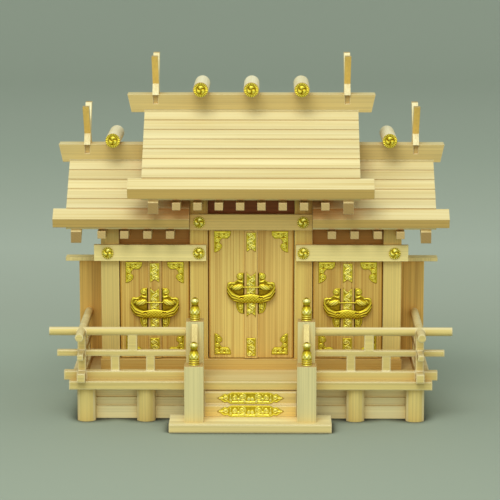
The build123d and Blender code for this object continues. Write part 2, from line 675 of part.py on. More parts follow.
def body():
    """Sill, floor, pillars, walls and lintels, with the bays open in front."""
    main = (MAIN_EAVE_Y, MAIN_EAVE_Z)
    side = (SIDE_EAVE_Y, SIDE_EAVE_Z)
    main_thick = MAIN_EAVE_THICK + SLOPE_BOARD
    side_thick = SIDE_EAVE_THICK + SLOPE_BOARD
    pillar_back = PILLAR_FRONT + PILLAR_DEPTH
    back_inner = BODY_BACK - BACK_WALL
    sill_end = OUTER_PILLAR_OUTER + SILL_OVERHANG
    sill = block((-sill_end, sill_end), (SILL_FRONT, pillar_back), (DECK_TOP, SILL_TOP))
    floor_x = (-OUTER_PILLAR_OUTER, OUTER_PILLAR_OUTER)
    floor = block(floor_x, (pillar_back, BODY_BACK), (DECK_TOP, FLOOR_TOP))
    main_front = wall_outline(main, main_thick, PILLAR_FRONT, pillar_back, SILL_TOP)
    main_middle = wall_outline(main, main_thick, pillar_back, back_inner, FLOOR_TOP)
    main_rear = wall_outline(main, main_thick, back_inner, BODY_BACK, FLOOR_TOP)
    side_front = wall_outline(side, side_thick, PILLAR_FRONT, pillar_back, SILL_TOP)
    side_middle = wall_outline(side, side_thick, pillar_back, back_inner, FLOOR_TOP)
    side_rear = wall_outline(side, side_thick, back_inner, BODY_BACK, FLOOR_TOP)
    main_pillar = along_x(main_front, MAIN_PILLAR_INNER, MAIN_PILLAR_OUTER)
    outer_pillar = along_x(side_front, OUTER_PILLAR_INNER, OUTER_PILLAR_OUTER)
    main_side = along_x(main_middle, MAIN_PILLAR_OUTER - WALL, MAIN_PILLAR_OUTER)
    outer_side = along_x(side_middle, OUTER_PILLAR_OUTER - WALL, OUTER_PILLAR_OUTER)
    main_back = along_x(main_rear, -MAIN_PILLAR_OUTER, MAIN_PILLAR_OUTER)
    side_back = along_x(side_rear, MAIN_PILLAR_OUTER, OUTER_PILLAR_OUTER)
    main_x = (-MAIN_PILLAR_INNER, MAIN_PILLAR_INNER)
    side_x = (MAIN_PILLAR_OUTER, OUTER_PILLAR_INNER)
    main_head = head(main, main_thick, main_x, MAIN_LINTEL_BOTTOM, MAIN_LINTEL_HEIGHT)
    side_head = head(side, side_thick, side_x, SIDE_LINTEL_BOTTOM, SIDE_LINTEL_HEIGHT)
    holes = [pin for leaf in LEAVES for pin in pivots(leaf, PIVOT_RADIUS + PIVOT_FIT, PIVOT_FIT)]
    side_heads = pair(side_head)
    for hole in holes:
        sill -= hole
        main_head -= hole
        side_heads = [one - hole for one in side_heads]
    lintel_y = (PILLAR_FRONT - LINTEL_THICK, PILLAR_FRONT)
    main_lintel = block(
        (-MAIN_PILLAR_OUTER, MAIN_PILLAR_OUTER),
        lintel_y,
        (MAIN_LINTEL_BOTTOM, MAIN_LINTEL_BOTTOM + MAIN_LINTEL_HEIGHT),
    )
    side_lintel = block(
        (MAIN_PILLAR_OUTER - SIDE_LINTEL_LAP, OUTER_PILLAR_OUTER + SIDE_LINTEL_OVERHANG),
        lintel_y,
        (SIDE_LINTEL_BOTTOM, SIDE_LINTEL_BOTTOM + SIDE_LINTEL_HEIGHT),
    )
    return {
        "sill": [sill],
        "body_floor": [floor],
        "pillars": pair(main_pillar) + pair(outer_pillar),
        "side_walls": pair(main_side) + pair(outer_side),
        "back_wall_main": [main_back],
        "back_walls_side": pair(side_back),
        "head_boards": [main_head] + side_heads,
        "main_lintel": [main_lintel],
        "side_lintels": pair(side_lintel),
        "lintel_bosses": bosses(),
    }


def head(eave, thick, x, bottom, height):
    """The beam behind a lintel, which the doors' pivots turn in, and the wall set back above it."""
    pillar_back = PILLAR_FRONT + PILLAR_DEPTH
    beam = block(x, (PILLAR_FRONT, pillar_back), (bottom, bottom + height - HEAD_BELOW_LINTEL_TOP))
    wall_back = UPPER_WALL_FRONT + UPPER_WALL
    wall = along_x(wall_outline(eave, thick, UPPER_WALL_FRONT, wall_back, bottom), x[0], x[1])
    return beam + wall


def bosses():
    """Round gilt studs on the lintels."""
    front = PILLAR_FRONT - LINTEL_THICK
    main_z = MAIN_LINTEL_BOTTOM + MAIN_LINTEL_HEIGHT / 2
    side_z = SIDE_LINTEL_BOTTOM + SIDE_LINTEL_HEIGHT / 2
    studs = pair(boss(MAIN_BOSS_X, front, main_z))
    for x in SIDE_BOSS_X:
        studs += pair(boss(x, front, side_z))
    return studs


def boss(x, y, z):
    """A flat rim with a low dome on it."""
    rim = 0.3 * BOSS_THICK
    points = [(0, 0), (BOSS_RADIUS, 0), (BOSS_RADIUS, rim), (0.9 * BOSS_RADIUS, rim)]
    arc = (points[-1], (0.5 * BOSS_RADIUS, 0.8 * BOSS_THICK), (0, BOSS_THICK))
    dome = turned(points, [arc])
    return Pos(x, y, z) * Rot(90, 0, 0) * dome


def leaf_record(name, hinge, middle, lintel, lock):
    """A door leaf: the side of the opening that it hangs on, the middle of its bay and its top."""
    side = 1 if hinge > middle else -1
    pivot = hinge - side * (LEAF_SIDE_GAP + PIVOT_Y)
    return {
        "name": name,
        "side": side,
        "hinge": hinge,
        "pivot": pivot,
        "middle": middle,
        "foot": SILL_TOP + LEAF_END_GAP,
        "top": lintel - LEAF_END_GAP,
        "lock": lock,
    }


def leaf_records():
    """The six leaves: two in each bay, named by bay and by side."""
    side_middle = (MAIN_PILLAR_OUTER + OUTER_PILLAR_INNER) / 2
    side_half = side_middle - MAIN_PILLAR_OUTER
    bays = (
        ("centre", 0.0, MAIN_PILLAR_INNER, MAIN_LINTEL_BOTTOM, LOCK_CENTRE_MAIN),
        ("left", -side_middle, side_half, SIDE_LINTEL_BOTTOM, LOCK_CENTRE_SIDE),
        ("right", side_middle, side_half, SIDE_LINTEL_BOTTOM, LOCK_CENTRE_SIDE),
    )
    leaves = []
    for bay, middle, half, lintel, lock in bays:
        leaves.append(leaf_record(bay + "_door_left", middle - half, middle, lintel, lock))
        leaves.append(leaf_record(bay + "_door_right", middle + half, middle, lintel, lock))
    return leaves


LEAVES = leaf_records()


def pivots(leaf, radius, extra):
    """The two pins of a leaf, or their holes when made with the fit's clearance."""
    x = leaf["pivot"]
    reach = PIVOT_LENGTH + LEAF_END_GAP + extra
    low = rod_z(radius, x, PIVOT_Y, leaf["foot"] - reach, leaf["foot"])
    high = rod_z(radius, x, PIVOT_Y, leaf["top"], leaf["top"] + reach)
    return low, high


def door_leaf(leaf):
    """A board with a rounded heel and pivot pins, and on the right leaf the batten that covers the joint."""
    x = leaf["pivot"]
    free = leaf["middle"] + leaf["side"] * LEAF_MEET_GAP / 2
    limits = (min(x, free), max(x, free))
    shape = block(limits, (0, LEAF_THICK), (leaf["foot"], leaf["top"]))
    shape += rod_z(PIVOT_Y, x, PIVOT_Y, leaf["foot"], leaf["top"])
    for pin in pivots(leaf, PIVOT_RADIUS, 0):
        shape += pin
    if leaf["side"] > 0:
        half = BATTEN_WIDTH / 2
        middle = leaf["middle"]
        top = leaf["top"] + LEAF_END_GAP - BATTEN_TOP_GAP
        shape += block((middle - half, middle + half), (-BATTEN_THICK, -LAP_GAP), (leaf["foot"], top))
        shape += block((free, middle + half), (-LAP_GAP, 0), (leaf["foot"], top))
    return shape


def corner_plate(x, z, side, up):
    """A gilt corner plate with a scalloped inner edge; side and up point to the middle of the leaf."""
    wide = CORNER_PLATE_WIDTH
    high = CORNER_PLATE_HEIGHT

    def at(across, away):
        return x + side * across * wide, -PLATE, z + up * away * high

    edges = [
        Line(at(0, 0), at(1, 0)),
        ThreePointArc(at(1, 0), at(0.98, 0.2), at(0.82, 0.34)),
        ThreePointArc(at(0.82, 0.34), at(0.64, 0.38), at(0.5, 0.36)),
        ThreePointArc(at(0.5, 0.36), at(0.4, 0.42), at(0.33, 0.56)),
        ThreePointArc(at(0.33, 0.56), at(0.46, 0.62), at(0.46, 0.76)),
        ThreePointArc(at(0.46, 0.76), at(0.32, 0.9), at(0.12, 1)),
        Line(at(0.12, 1), at(0, 1)),
        Line(at(0, 1), at(0, 0)),
    ]
    return extrude(make_face(edges), amount=PLATE, dir=(0, 1, 0))


def swallow_plate(x, y, top, width, height, down):
    """A strip plate with one notched end; down is -1 where the notch is at the foot."""
    half = width / 2
    notch = 0.16 * height
    far = top + down * height
    outline = [
        (x - half, top),
        (x + half, top),
        (x + half, far - down * notch * 0.5),
        (x + half * 0.8, far),
        (x, far - down * notch),
        (x - half * 0.8, far),
        (x - half, far - down * notch * 0.5),
    ]
    return along_y(outline, y - PLATE, y)


def lock_bar(middle, z):
    """A boat-shaped bar in front of the batten, with ends that turn up, and the thin cross bar above it."""
    front = -BATTEN_THICK - PLATE - LOCK_BAR_THICK
    edges = []
    for curve in (BOAT_UPPER, BOAT_LOWER):
        half = [(across, front, up) for across, up in curve]
        other = [(-across, front, up) for across, up in reversed(curve[:-1])]
        edges.append(Spline(*[(middle + x, y, z + up) for x, y, up in half + other]))
    boat = extrude(make_face(edges), amount=LOCK_BAR_THICK, dir=(0, 1, 0))
    side = CROSS_BAR_SIDE
    back = -BATTEN_THICK - PLATE
    low = z + CROSS_BAR_RISE
    cross = block((middle - CROSS_BAR_HALF, middle + CROSS_BAR_HALF), (back - side, back), (low, low + side))
    return boat + cross


def wing_plate(middle, side, z):
    """The scrolled plate beside the batten, from the top of the lock to its foot."""
    return along_y([(middle + side * across, z + up) for across, up in WING_PLATE], -PLATE, 0)


def leaf_fittings(leaf):
    """The gilt plates of a leaf, and on the right leaf also the batten's plates and the lock."""
    side = leaf["side"]
    outer = leaf["hinge"] - side * CORNER_PLATE_INSET
    lintel = leaf["top"] + LEAF_END_GAP
    plates = [
        corner_plate(outer, lintel - CORNER_PLATE_TOP_GAP, -side, -1),
        corner_plate(outer, leaf["foot"] + CORNER_PLATE_FOOT_GAP, -side, 1),
    ]
    middle = leaf["middle"]
    plates.append(wing_plate(middle, side, leaf["lock"]))
    if side > 0:
        face = -BATTEN_THICK
        top = lintel - BATTEN_TOP_GAP - BATTEN_PLATE_MARGIN
        foot = leaf["foot"] + BATTEN_PLATE_MARGIN
        plates.append(swallow_plate(middle, face, top, BATTEN_PLATE_WIDTH, BATTEN_PLATE_HEIGHT, -1))
        plates.append(swallow_plate(middle, face, foot, BATTEN_PLATE_WIDTH, BATTEN_PLATE_HEIGHT, 1))
        centre = leaf["lock"] + LOCK_HEIGHT / 2
        lock_plate = swallow_plate(middle, face, centre, BATTEN_PLATE_WIDTH, LOCK_HEIGHT, -1)
        plates.append(lock_plate + lock_bar(middle, leaf["lock"]))
    return plates


def doors():
    nodes = {}
    for leaf in LEAVES:
        nodes[leaf["name"]] = [door_leaf(leaf)]
        nodes[leaf["name"] + "_fittings"] = leaf_fittings(leaf)
    return nodes


def write(nodes):
    """Each node goes to a file of its own, moved so that the origin is under the middle of the footprint."""
    os.makedirs("parts", exist_ok=True)
    place = Pos(0, -FOOTPRINT_MIDDLE, 0)
    for name, shapes in nodes.items():
        solids = [solid for shape in shapes for solid in (place * shape).solids()]
        whole = solids[0] if len(solids) == 1 else Compound(solids)
        export_step(whole, "parts/" + name + ".step")


def main():
    nodes = {}
    nodes.update(stair())
    nodes["stair_plates"] = stair_plates()
    nodes.update(base())
    nodes["railing_right"] = railing()
    nodes["railing_left"] = [left(one) for one in railing()]
    nodes["wing_boards"] = pair(wing())
    nodes.update(body())
    nodes.update(doors())
    nodes.update(roofs())
    write(nodes)


main()
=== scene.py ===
"""Looks of a household Shinto shrine: pale cypress boards and embossed gilt fittings, in metres."""

import math

import bmesh
import bpy
import numpy as np
from mathutils import Matrix, Vector


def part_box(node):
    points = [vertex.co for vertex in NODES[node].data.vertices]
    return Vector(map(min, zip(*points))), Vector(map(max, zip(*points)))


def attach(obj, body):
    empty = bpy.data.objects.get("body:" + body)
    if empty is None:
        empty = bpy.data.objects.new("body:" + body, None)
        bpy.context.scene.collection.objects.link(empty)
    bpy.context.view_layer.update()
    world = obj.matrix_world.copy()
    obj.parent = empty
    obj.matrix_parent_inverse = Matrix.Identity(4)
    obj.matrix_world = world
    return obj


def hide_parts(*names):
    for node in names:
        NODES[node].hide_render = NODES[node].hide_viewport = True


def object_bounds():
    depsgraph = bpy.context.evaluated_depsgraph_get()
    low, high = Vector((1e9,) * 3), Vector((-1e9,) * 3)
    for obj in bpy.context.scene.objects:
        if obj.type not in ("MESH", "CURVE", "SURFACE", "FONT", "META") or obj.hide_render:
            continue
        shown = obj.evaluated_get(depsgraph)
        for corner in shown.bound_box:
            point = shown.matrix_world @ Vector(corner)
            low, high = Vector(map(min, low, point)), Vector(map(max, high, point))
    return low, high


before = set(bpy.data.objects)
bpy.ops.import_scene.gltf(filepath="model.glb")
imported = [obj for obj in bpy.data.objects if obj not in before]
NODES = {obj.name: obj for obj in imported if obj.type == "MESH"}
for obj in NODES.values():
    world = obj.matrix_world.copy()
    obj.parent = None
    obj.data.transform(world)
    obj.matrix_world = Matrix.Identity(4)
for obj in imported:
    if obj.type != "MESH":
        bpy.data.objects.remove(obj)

CAD_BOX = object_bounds()


def plain(box):
    """A box as plain lists of numbers."""
    return [[float(value) for value in corner] for corner in box]


CAD_BOX = plain(CAD_BOX)

# Camera: its place, its turns and its focal length, as fitted to the photograph
CAMERA_AT = (0.0234, -2.5604, 0.6401)
CAMERA_PITCH = math.radians(10.241)
CAMERA_YAW = math.radians(0.557)
FOCAL_PIXELS = 2321.2
PHOTO_PIXELS = 500.0
SENSOR_WIDTH = 36.0
FAR_CLIP = 50.0

# Lamps as (name, place, watts, side), the point that they aim at, and the light from all round
LAMPS = (("key", (-0.3, -1.35, 1.9), 25.5, 1.2), ("fill", (0.1, -2.6, 0.6), 12.0, 1.8))
LAMP_AIM = (0.0, 0.0, 0.2)
SKY = (0.97, 1.0, 0.96, 1.0)
SKY_STRENGTH = 0.70

# Backdrop in metres: half width, front end, back wall, height of the wall and radius of the bend
FLOOR_HALF = 6.0
FLOOR_FRONT = -4.0
FLOOR_BACK = 5.0
FLOOR_TOP = 6.0
FLOOR_BEND = 1.6
BEND_STEPS = 16
# Tones of the backdrop from front to back, as (y, red, green, blue): painted light and shade, darker near the
# shrine and brightest about a metre behind it
FLOOR_TONES = (
    (-0.3, 148, 160, 142),
    (0.1, 147, 159, 141),
    (0.3, 157, 170, 152),
    (0.5, 163, 174, 157),
    (1.0, 180, 192, 176),
    (1.5, 176, 188, 171),
    (2.05, 171, 184, 167),
    (2.7, 171, 183, 167),
    (4.5, 165, 177, 161),
)
WHITE = (1.0, 1.0, 1.0, 1.0)
# How far the shrine's contact shadow reaches, and what it leaves of the floor's tone by openness
CONTACT_REACH = 0.026
CONTACT = [(0.52, (0.07, 0.07, 0.05, 1.0)), (0.68, (0.5, 0.5, 0.45, 1.0)), (0.86, WHITE)]

# Wood tones, 0 to 255
STRAW = (229, 218, 165)
STRAW_DARK = (200, 178, 110)
# Tones for the sides that face forwards, as painted light and shade: eave and ridge cover fronts painted
# darker, as shade from a light above
FASCIA = (214, 180, 100)
COVER = (210, 186, 114)
# Lintel fronts as a shaded and a lit copy of one wood: the main lintel with painted shade from its eave, the
# side lintels with painted light; the stair's handrails share the pale tone
LINTEL_MAIN = (240, 208, 122)
LINTEL_SIDE = (246, 228, 150)
# Fronts of posts, rails, deck posts, plank, steps and base boards, tinted part by part as painted light and
# shade
POST = (225, 214, 150)
FACE = (228, 208, 126)
PALE = (236, 224, 156)
STEP = (234, 214, 134)
BASE = (252, 245, 188)
CHIGI = (242, 235, 188)
# Painted shade for the crossed boards' sides that face down
CHIGI_UNDER = (246, 208, 110)
HONEY = (214, 191, 112)
HONEY_DARK = (190, 150, 72)
PILLAR = (228, 203, 108)
PILLAR_OUTER = (225, 202, 118)
DOOR_WOOD = (235, 212, 119)
DOOR_WARM = (231, 201, 111)
DOOR_GRAIN = (192, 152, 74)
SIDE_DOOR = (219, 191, 98)
SIDE_DOOR_GRAIN = (182, 140, 60)
WING_WOOD = (246, 208, 110)
# Caps of the wing boards painted pale, as painted light where the side roofs' shadow falls
WING_CAP = (252, 232, 156)
# Head boards above the lintels, painted dark red-brown as painted shade under the eaves, lighter for the side
# bays
SHADE_WOOD = (178, 108, 38)
SHADE_GRAIN = (128, 74, 26)
SHADE_OUTER = (204, 152, 66)
LOG_WOOD = (242, 236, 200)
LOG_GRAIN = (222, 208, 156)
END_GRAIN = (200, 172, 108)
# Ends of the bargeboards: end grain darkened further with painted shade
BARGE_END = (168, 138, 78)
# Painted highlight along the arrises
EDGE = (250, 236, 184)
# Share of a tone that its dark lines keep, on long faces and on end grain
FACE_DARK = 0.86
END_DARK = 0.80

# Gilt tones from bright to dark, 0 to 255
GILT_PALE = (246, 238, 150)
GILT_LIGHT = (230, 216, 80)
GILT = (211, 191, 42)
GILT_SHADE = (164, 132, 12)
GILT_DEEP = (80, 54, 2)

# Shade between boards: what it leaves of each colour, its reach, and the openness where it ends
WARM_HOLLOW = ((1.0, 0.83, 0.60, 1.0), 0.03, 0.95)
ROOF_SHADE = (0.88, 0.42, 0.18, 1.0)
ROOF_HOLLOW = (ROOF_SHADE, 0.035, 0.62)
EAVE_HOLLOW = (ROOF_SHADE, 0.06, 0.75)
# Painted highlight along the arrises, which are also rounded: radius and strength
FINE_EDGE = (0.0008, 0.45)
COVER_EDGE = (0.0012, 0.8)
STEP_EDGE = (0.003, 1.0)

# Roof slope in degrees, exposed width of a roof strip and width of a wall board
ROOF_SLOPE = 40
STRIP_WIDTH = 0.0146
WALL_BOARD = 0.045
# Where the outer pillars and the side bays' head boards begin, from the middle, and the wing caps' height
OUTER_PILLARS = 0.1
OUTER_HEADS = 0.064
WING_CAP_FOOT = 0.1592


def linear(colour, share=1.0):
    """A share of a 0 to 255 display colour as linear values with alpha."""
    out = []
    for value in colour:
        v = int(share * value) / 255
        out.append(v / 12.92 if v <= 0.04045 else ((v + 0.055) / 1.055) ** 2.4)
    return (*out, 1.0)


class Shader:
    """A small helper to lay out nodes and join them."""

    def __init__(self, name):
        self.material = bpy.data.materials.new(name)
        self.material.use_nodes = True
        self.tree = self.material.node_tree
        self.bsdf = self.tree.nodes["Principled BSDF"]

    def add(self, kind, values=None, **settings):
        """A new node with those settings and input values."""
        node = self.tree.nodes.new("ShaderNode" + kind)
        for key, value in settings.items():
            setattr(node, key, value)
        for key, value in (values or {}).items():
            node.inputs[key].default_value = value
        return node

    def join(self, source, target):
        """Links an output to an input."""
        self.tree.links.new(source, target)

    def math(self, operation, a, b=0.0, clamp=False):
        """The result of a sum; a and b are numbers or outputs."""
        node = self.add("Math", operation=operation, use_clamp=clamp)
        for index, value in enumerate((a, b)):
            if isinstance(value, (int, float)):
                node.inputs[index].default_value = value
            else:
                self.join(value, node.inputs[index])
        return node.outputs[0]

    def mix(self, factor, a, b, blend="MIX"):
        """Two colours mixed; each is a value or an output."""
        node = self.add("Mix", data_type="RGBA", blend_type=blend)
        for socket, value in ((node.inputs[0], factor), (node.inputs[6], a), (node.inputs[7], b)):
            if isinstance(value, (int, float, tuple)):
                socket.default_value = value
            else:
                self.join(value, socket)
        return node.outputs[2]

    def ramp(self, source, stops):
        """A ramp from stops of (place, grey or colour)."""
        node = self.add("ValToRGB")
        elements = node.color_ramp.elements
        while len(elements) < len(stops):
            elements.new(0.5)
        for element, (place, value) in zip(elements, stops):
            element.position = place
            element.color = value if isinstance(value, tuple) else (value, value, value, 1.0)
        self.join(source, node.inputs[0])
        return node.outputs[0]


AXES = {"x": (1.0, 0.0, 0.0), "y": (0.0, 1.0, 0.0), "z": (0.0, 0.0, 1.0)}


def stretched(s, where, grain, along, across):
    """The place scaled so that a texture runs along the grain: frequencies per metre along and across."""
    scale = tuple(along if one else across for one in AXES[grain])
    mapping = s.add("Mapping", {"Scale": scale})
    s.join(where, mapping.inputs[0])
    return mapping.outputs[0]


def shifted_boards(s, place, where, boards, seed):
    """Slides the grain of each board; gives the new place and a random value for each board."""
    direction, width = boards
    dot = s.add("VectorMath", operation="DOT_PRODUCT")
    s.join(place, dot.inputs[0])
    dot.inputs[1].default_value = direction
    cell = s.math("FLOOR", s.math("DIVIDE", dot.outputs["Value"], width))
    noise = s.add("TexWhiteNoise", noise_dimensions="1D")
    s.join(s.math("ADD", cell, seed + 0.5), noise.inputs["W"])
    slide = s.add("VectorMath", operation="SCALE")
    s.join(noise.outputs["Color"], slide.inputs[0])
    slide.inputs["Scale"].default_value = 0.6
    moved = s.add("VectorMath", operation="ADD")
    s.join(where, moved.inputs[0])
    s.join(slide.outputs[0], moved.inputs[1])
    return moved.outputs[0], noise.outputs["Value"]


def grain_lines(s, where, grain, ring, strength):
    """How dark the fibres, growth lines and slow drift make each place, and the fibres alone."""
    fibres = s.add("TexNoise", {"Scale": 1.0, "Detail": 3.0, "Roughness": 0.6})
    s.join(stretched(s, where, grain, 6.0, 1100.0), fibres.inputs["Vector"])
    rings = s.add("TexNoise", {"Scale": 1.0, "Detail": 2.0, "Roughness": 0.45, "Distortion": 0.2})
    s.join(stretched(s, where, grain, 1.6, 1000.0 / ring), rings.inputs["Vector"])
    lines = s.ramp(rings.outputs[0], [(0.36, 0.0), (0.47, 0.35), (0.53, 1.0), (0.57, 0.25), (0.7, 0.0)])
    drift = s.add("TexNoise", {"Scale": 1.0, "Detail": 2.0, "Roughness": 0.5})
    s.join(stretched(s, where, grain, 3.0, 60.0), drift.inputs["Vector"])
    fibre_part = s.math("MULTIPLY", s.ramp(fibres.outputs[0], [(0.32, 0.0), (0.68, 1.0)]), 0.22)
    ring_part = s.math("MULTIPLY", lines, strength)
    drift_part = s.math("MULTIPLY", s.ramp(drift.outputs[0], [(0.36, 0.0), (0.66, 1.0)]), 0.4)
    amount = s.math("ADD", s.math("ADD", fibre_part, ring_part), drift_part, clamp=True)
    return amount, fibres.outputs[0]


def end_grain(s, where, grain, tone):
    """Pores and ring arcs of wood cut across."""
    pores = s.add("TexNoise", {"Scale": 900.0, "Detail": 2.0, "Roughness": 0.6})
    s.join(where, pores.inputs["Vector"])
    arcs = s.add("TexWave", {"Scale": 120.0, "Distortion": 2.5, "Detail": 1.0, "Detail Scale": 1.5},
                 wave_type="RINGS", rings_direction=grain.upper())
    s.join(where, arcs.inputs["Vector"])
    pore_part = s.math("MULTIPLY", pores.outputs[0], 0.5)
    grey = s.math("ADD", pore_part, s.math("MULTIPLY", arcs.outputs["Fac"], 0.2))
    return s.mix(grey, linear(tone), linear(tone, END_DARK))


def highlit_arrises(s, colour, radius, strength):
    """The colour with a painted highlight along the arrises, and the normal rounded at them."""
    rounded = s.add("Bevel", {"Radius": radius}, samples=4)
    turned = s.add("VectorMath", operation="DOT_PRODUCT")
    s.join(rounded.outputs[0], turned.inputs[0])
    s.join(s.add("NewGeometry").outputs["Normal"], turned.inputs[1])
    highlight = s.ramp(turned.outputs["Value"], [(0.72, strength), (0.9, 0.8 * strength), (0.99, 0.0)])
    return s.mix(highlight, colour, linear(EDGE)), rounded.outputs[0]


def wood(name, grain, light, dark, ring=2.4, strength=0.5, seed=0.0, boards=None, face=None, under=None,
         outer=None, end=END_GRAIN, hollow=WARM_HOLLOW, edge=FINE_EDGE):
    """Quarter-sawn cypress with its growth lines and fibres along one axis.

    ring is the width of a growth ring in millimetres, and strength is how dark its line is.
    boards is (direction, width): boards side by side in that direction differ a little in tone.
    face is a tone for the sides that face forwards or back, painted lighter or darker than the tops as
    painted light and shade, and under one for those that face down, as painted shade.
    outer is (tone, distance, axis): a tone for what lies beyond that distance from 0 on that axis.
    end is the tone of the end grain, hollow the painted shade between boards and edge the painted highlight
    on the arrises.
    """
    s = Shader(name)
    coords = s.add("TexCoord")
    place = coords.outputs["Object"]
    shift = s.add("Mapping", {"Location": (seed, seed * 0.7, seed * 1.3)})
    s.join(place, shift.inputs[0])
    where = shift.outputs[0]
    if boards:
        where, board = shifted_boards(s, place, where, boards, seed)
    amount, fibres = grain_lines(s, where, grain, ring, strength)

    def toned(tone):
        return s.mix(amount, linear(tone), linear(tone, FACE_DARK))

    colour = s.mix(amount, linear(light), linear(dark))
    if outer:
        tone, begins, axis = outer
        spot = s.add("SeparateXYZ")
        s.join(place, spot.inputs[0])
        far = s.math("GREATER_THAN", s.math("ABSOLUTE", spot.outputs[axis]), begins)
        colour = s.mix(far, colour, toned(tone))
    normal = s.add("SeparateXYZ")
    s.join(coords.outputs["Normal"], normal.inputs[0])
    # Painted light and shade: the sides that face forwards or back take their own tone
    if face:
        front = s.ramp(s.math("ABSOLUTE", normal.outputs["Y"]), [(0.70, 0.0), (0.80, 1.0)])
        colour = s.mix(front, colour, toned(face))
    # Painted shade on the sides that face down
    if under:
        down = s.ramp(s.math("MULTIPLY", normal.outputs["Z"], -1.0), [(0.1, 0.0), (0.3, 1.0)])
        colour = s.mix(down, colour, toned(under))
    if boards:
        colour = s.mix(1.0, colour, s.ramp(board, [(0.0, 0.91), (1.0, 1.05)]), "MULTIPLY")
    is_end = s.ramp(s.math("ABSOLUTE", normal.outputs[grain.upper()]), [(0.80, 0.0), (0.92, 1.0)])
    colour = s.mix(is_end, colour, end_grain(s, where, grain, end))
    left, reach, opens = hollow
    openness = s.add("AmbientOcclusion", {"Distance": reach}, samples=6)
    shade = s.ramp(openness.outputs["AO"], [(0.15, left), (opens, WHITE)])
    colour = s.mix(1.0, colour, shade, "MULTIPLY")
    colour, rounded = highlit_arrises(s, colour, *edge)
    s.join(colour, s.bsdf.inputs["Base Color"])
    bump = s.add("Bump", {"Strength": 0.16, "Distance": 0.0003})
    s.join(fibres, bump.inputs["Height"])
    s.join(rounded, bump.inputs["Normal"])
    s.join(bump.outputs[0], s.bsdf.inputs["Normal"])
    s.bsdf.inputs["Roughness"].default_value = 0.58
    s.bsdf.inputs["Specular IOR Level"].default_value = 0.35
    return s.material


def gilt(name):
    """Bright gilt sheet with painted shade in its hollows and a slightly uneven sheen."""
    s = Shader(name)
    place = s.add("TexCoord").outputs["Object"]
    mottle = s.add("TexNoise", {"Scale": 420.0, "Detail": 3.0, "Roughness": 0.6})
    s.join(place, mottle.inputs["Vector"])
    # Painted shade in the sheet's hollows
    hollow = s.add("AmbientOcclusion", {"Distance": 0.0012}, samples=8)
    depth = s.ramp(hollow.outputs["AO"], [(0.35, 0.0), (0.85, 1.0)])
    # The tone attribute carries each point's painted light and shade from the relief
    tone = s.add("Attribute", attribute_name="tone")
    uneven = s.math("MULTIPLY", s.math("SUBTRACT", mottle.outputs[0], 0.5), 0.35)
    level = s.math("ADD", tone.outputs["Fac"], uneven, clamp=True)
    sheet = s.ramp(level, [(0.0, linear(GILT_DEEP)), (0.3, linear(GILT_SHADE)), (0.52, linear(GILT)),
                           (0.84, linear(GILT_LIGHT)), (1.0, linear(GILT_PALE))])
    colour = s.mix(depth, linear(GILT_DEEP), sheet)
    s.join(colour, s.bsdf.inputs["Base Color"])
    s.bsdf.inputs["Metallic"].default_value = 0.85
    rough = s.ramp(mottle.outputs[0], [(0.3, 0.34), (0.7, 0.48)])
    s.join(rough, s.bsdf.inputs["Roughness"])
    return s.material


def paint(names, material):
    """Gives CAD nodes a material."""
    for name in names:
        mesh = NODES[name].data
        mesh.materials.clear()
        mesh.materials.append(material)


def paint_roofs():
    """Roof strips, eave boards, ridge covers, bargeboards, logs and crossed boards."""
    slope = math.radians(ROOF_SLOPE)
    for part, way, seed in (("front", 1, 0.3), ("back", -1, 0.7)):
        up = (0.0, way * math.cos(slope), math.sin(slope))
        strips = wood("roof_wood_" + part, "x", STRAW, STRAW_DARK, ring=3.2, strength=0.34, seed=seed,
                      boards=(up, STRIP_WIDTH), hollow=ROOF_HOLLOW)
        paint(["main_roof_" + part, "side_roofs_" + part], strips)
    eaves = wood("eave_wood", "x", STRAW, STRAW_DARK, ring=2.8, seed=0.9, face=FASCIA, hollow=EAVE_HOLLOW)
    paint(["main_eave_boards", "side_eave_boards"], eaves)
    covers = wood("cover_wood", "x", STRAW, STRAW_DARK, ring=2.8, seed=1.3, face=COVER, edge=COVER_EDGE)
    paint(["ridge_covers"], covers)
    paint(["bargeboards"], wood("barge_wood", "y", STRAW, STRAW_DARK, seed=3.6, end=BARGE_END))
    paint(["ridge_logs"], wood("log_wood", "y", LOG_WOOD, LOG_GRAIN, ring=3.0, strength=0.3, seed=6.4))
    crossed = wood("chigi_wood", "z", CHIGI, STRAW_DARK, ring=3.0, strength=0.3, seed=2.5, under=CHIGI_UNDER)
    paint(["chigi"], crossed)


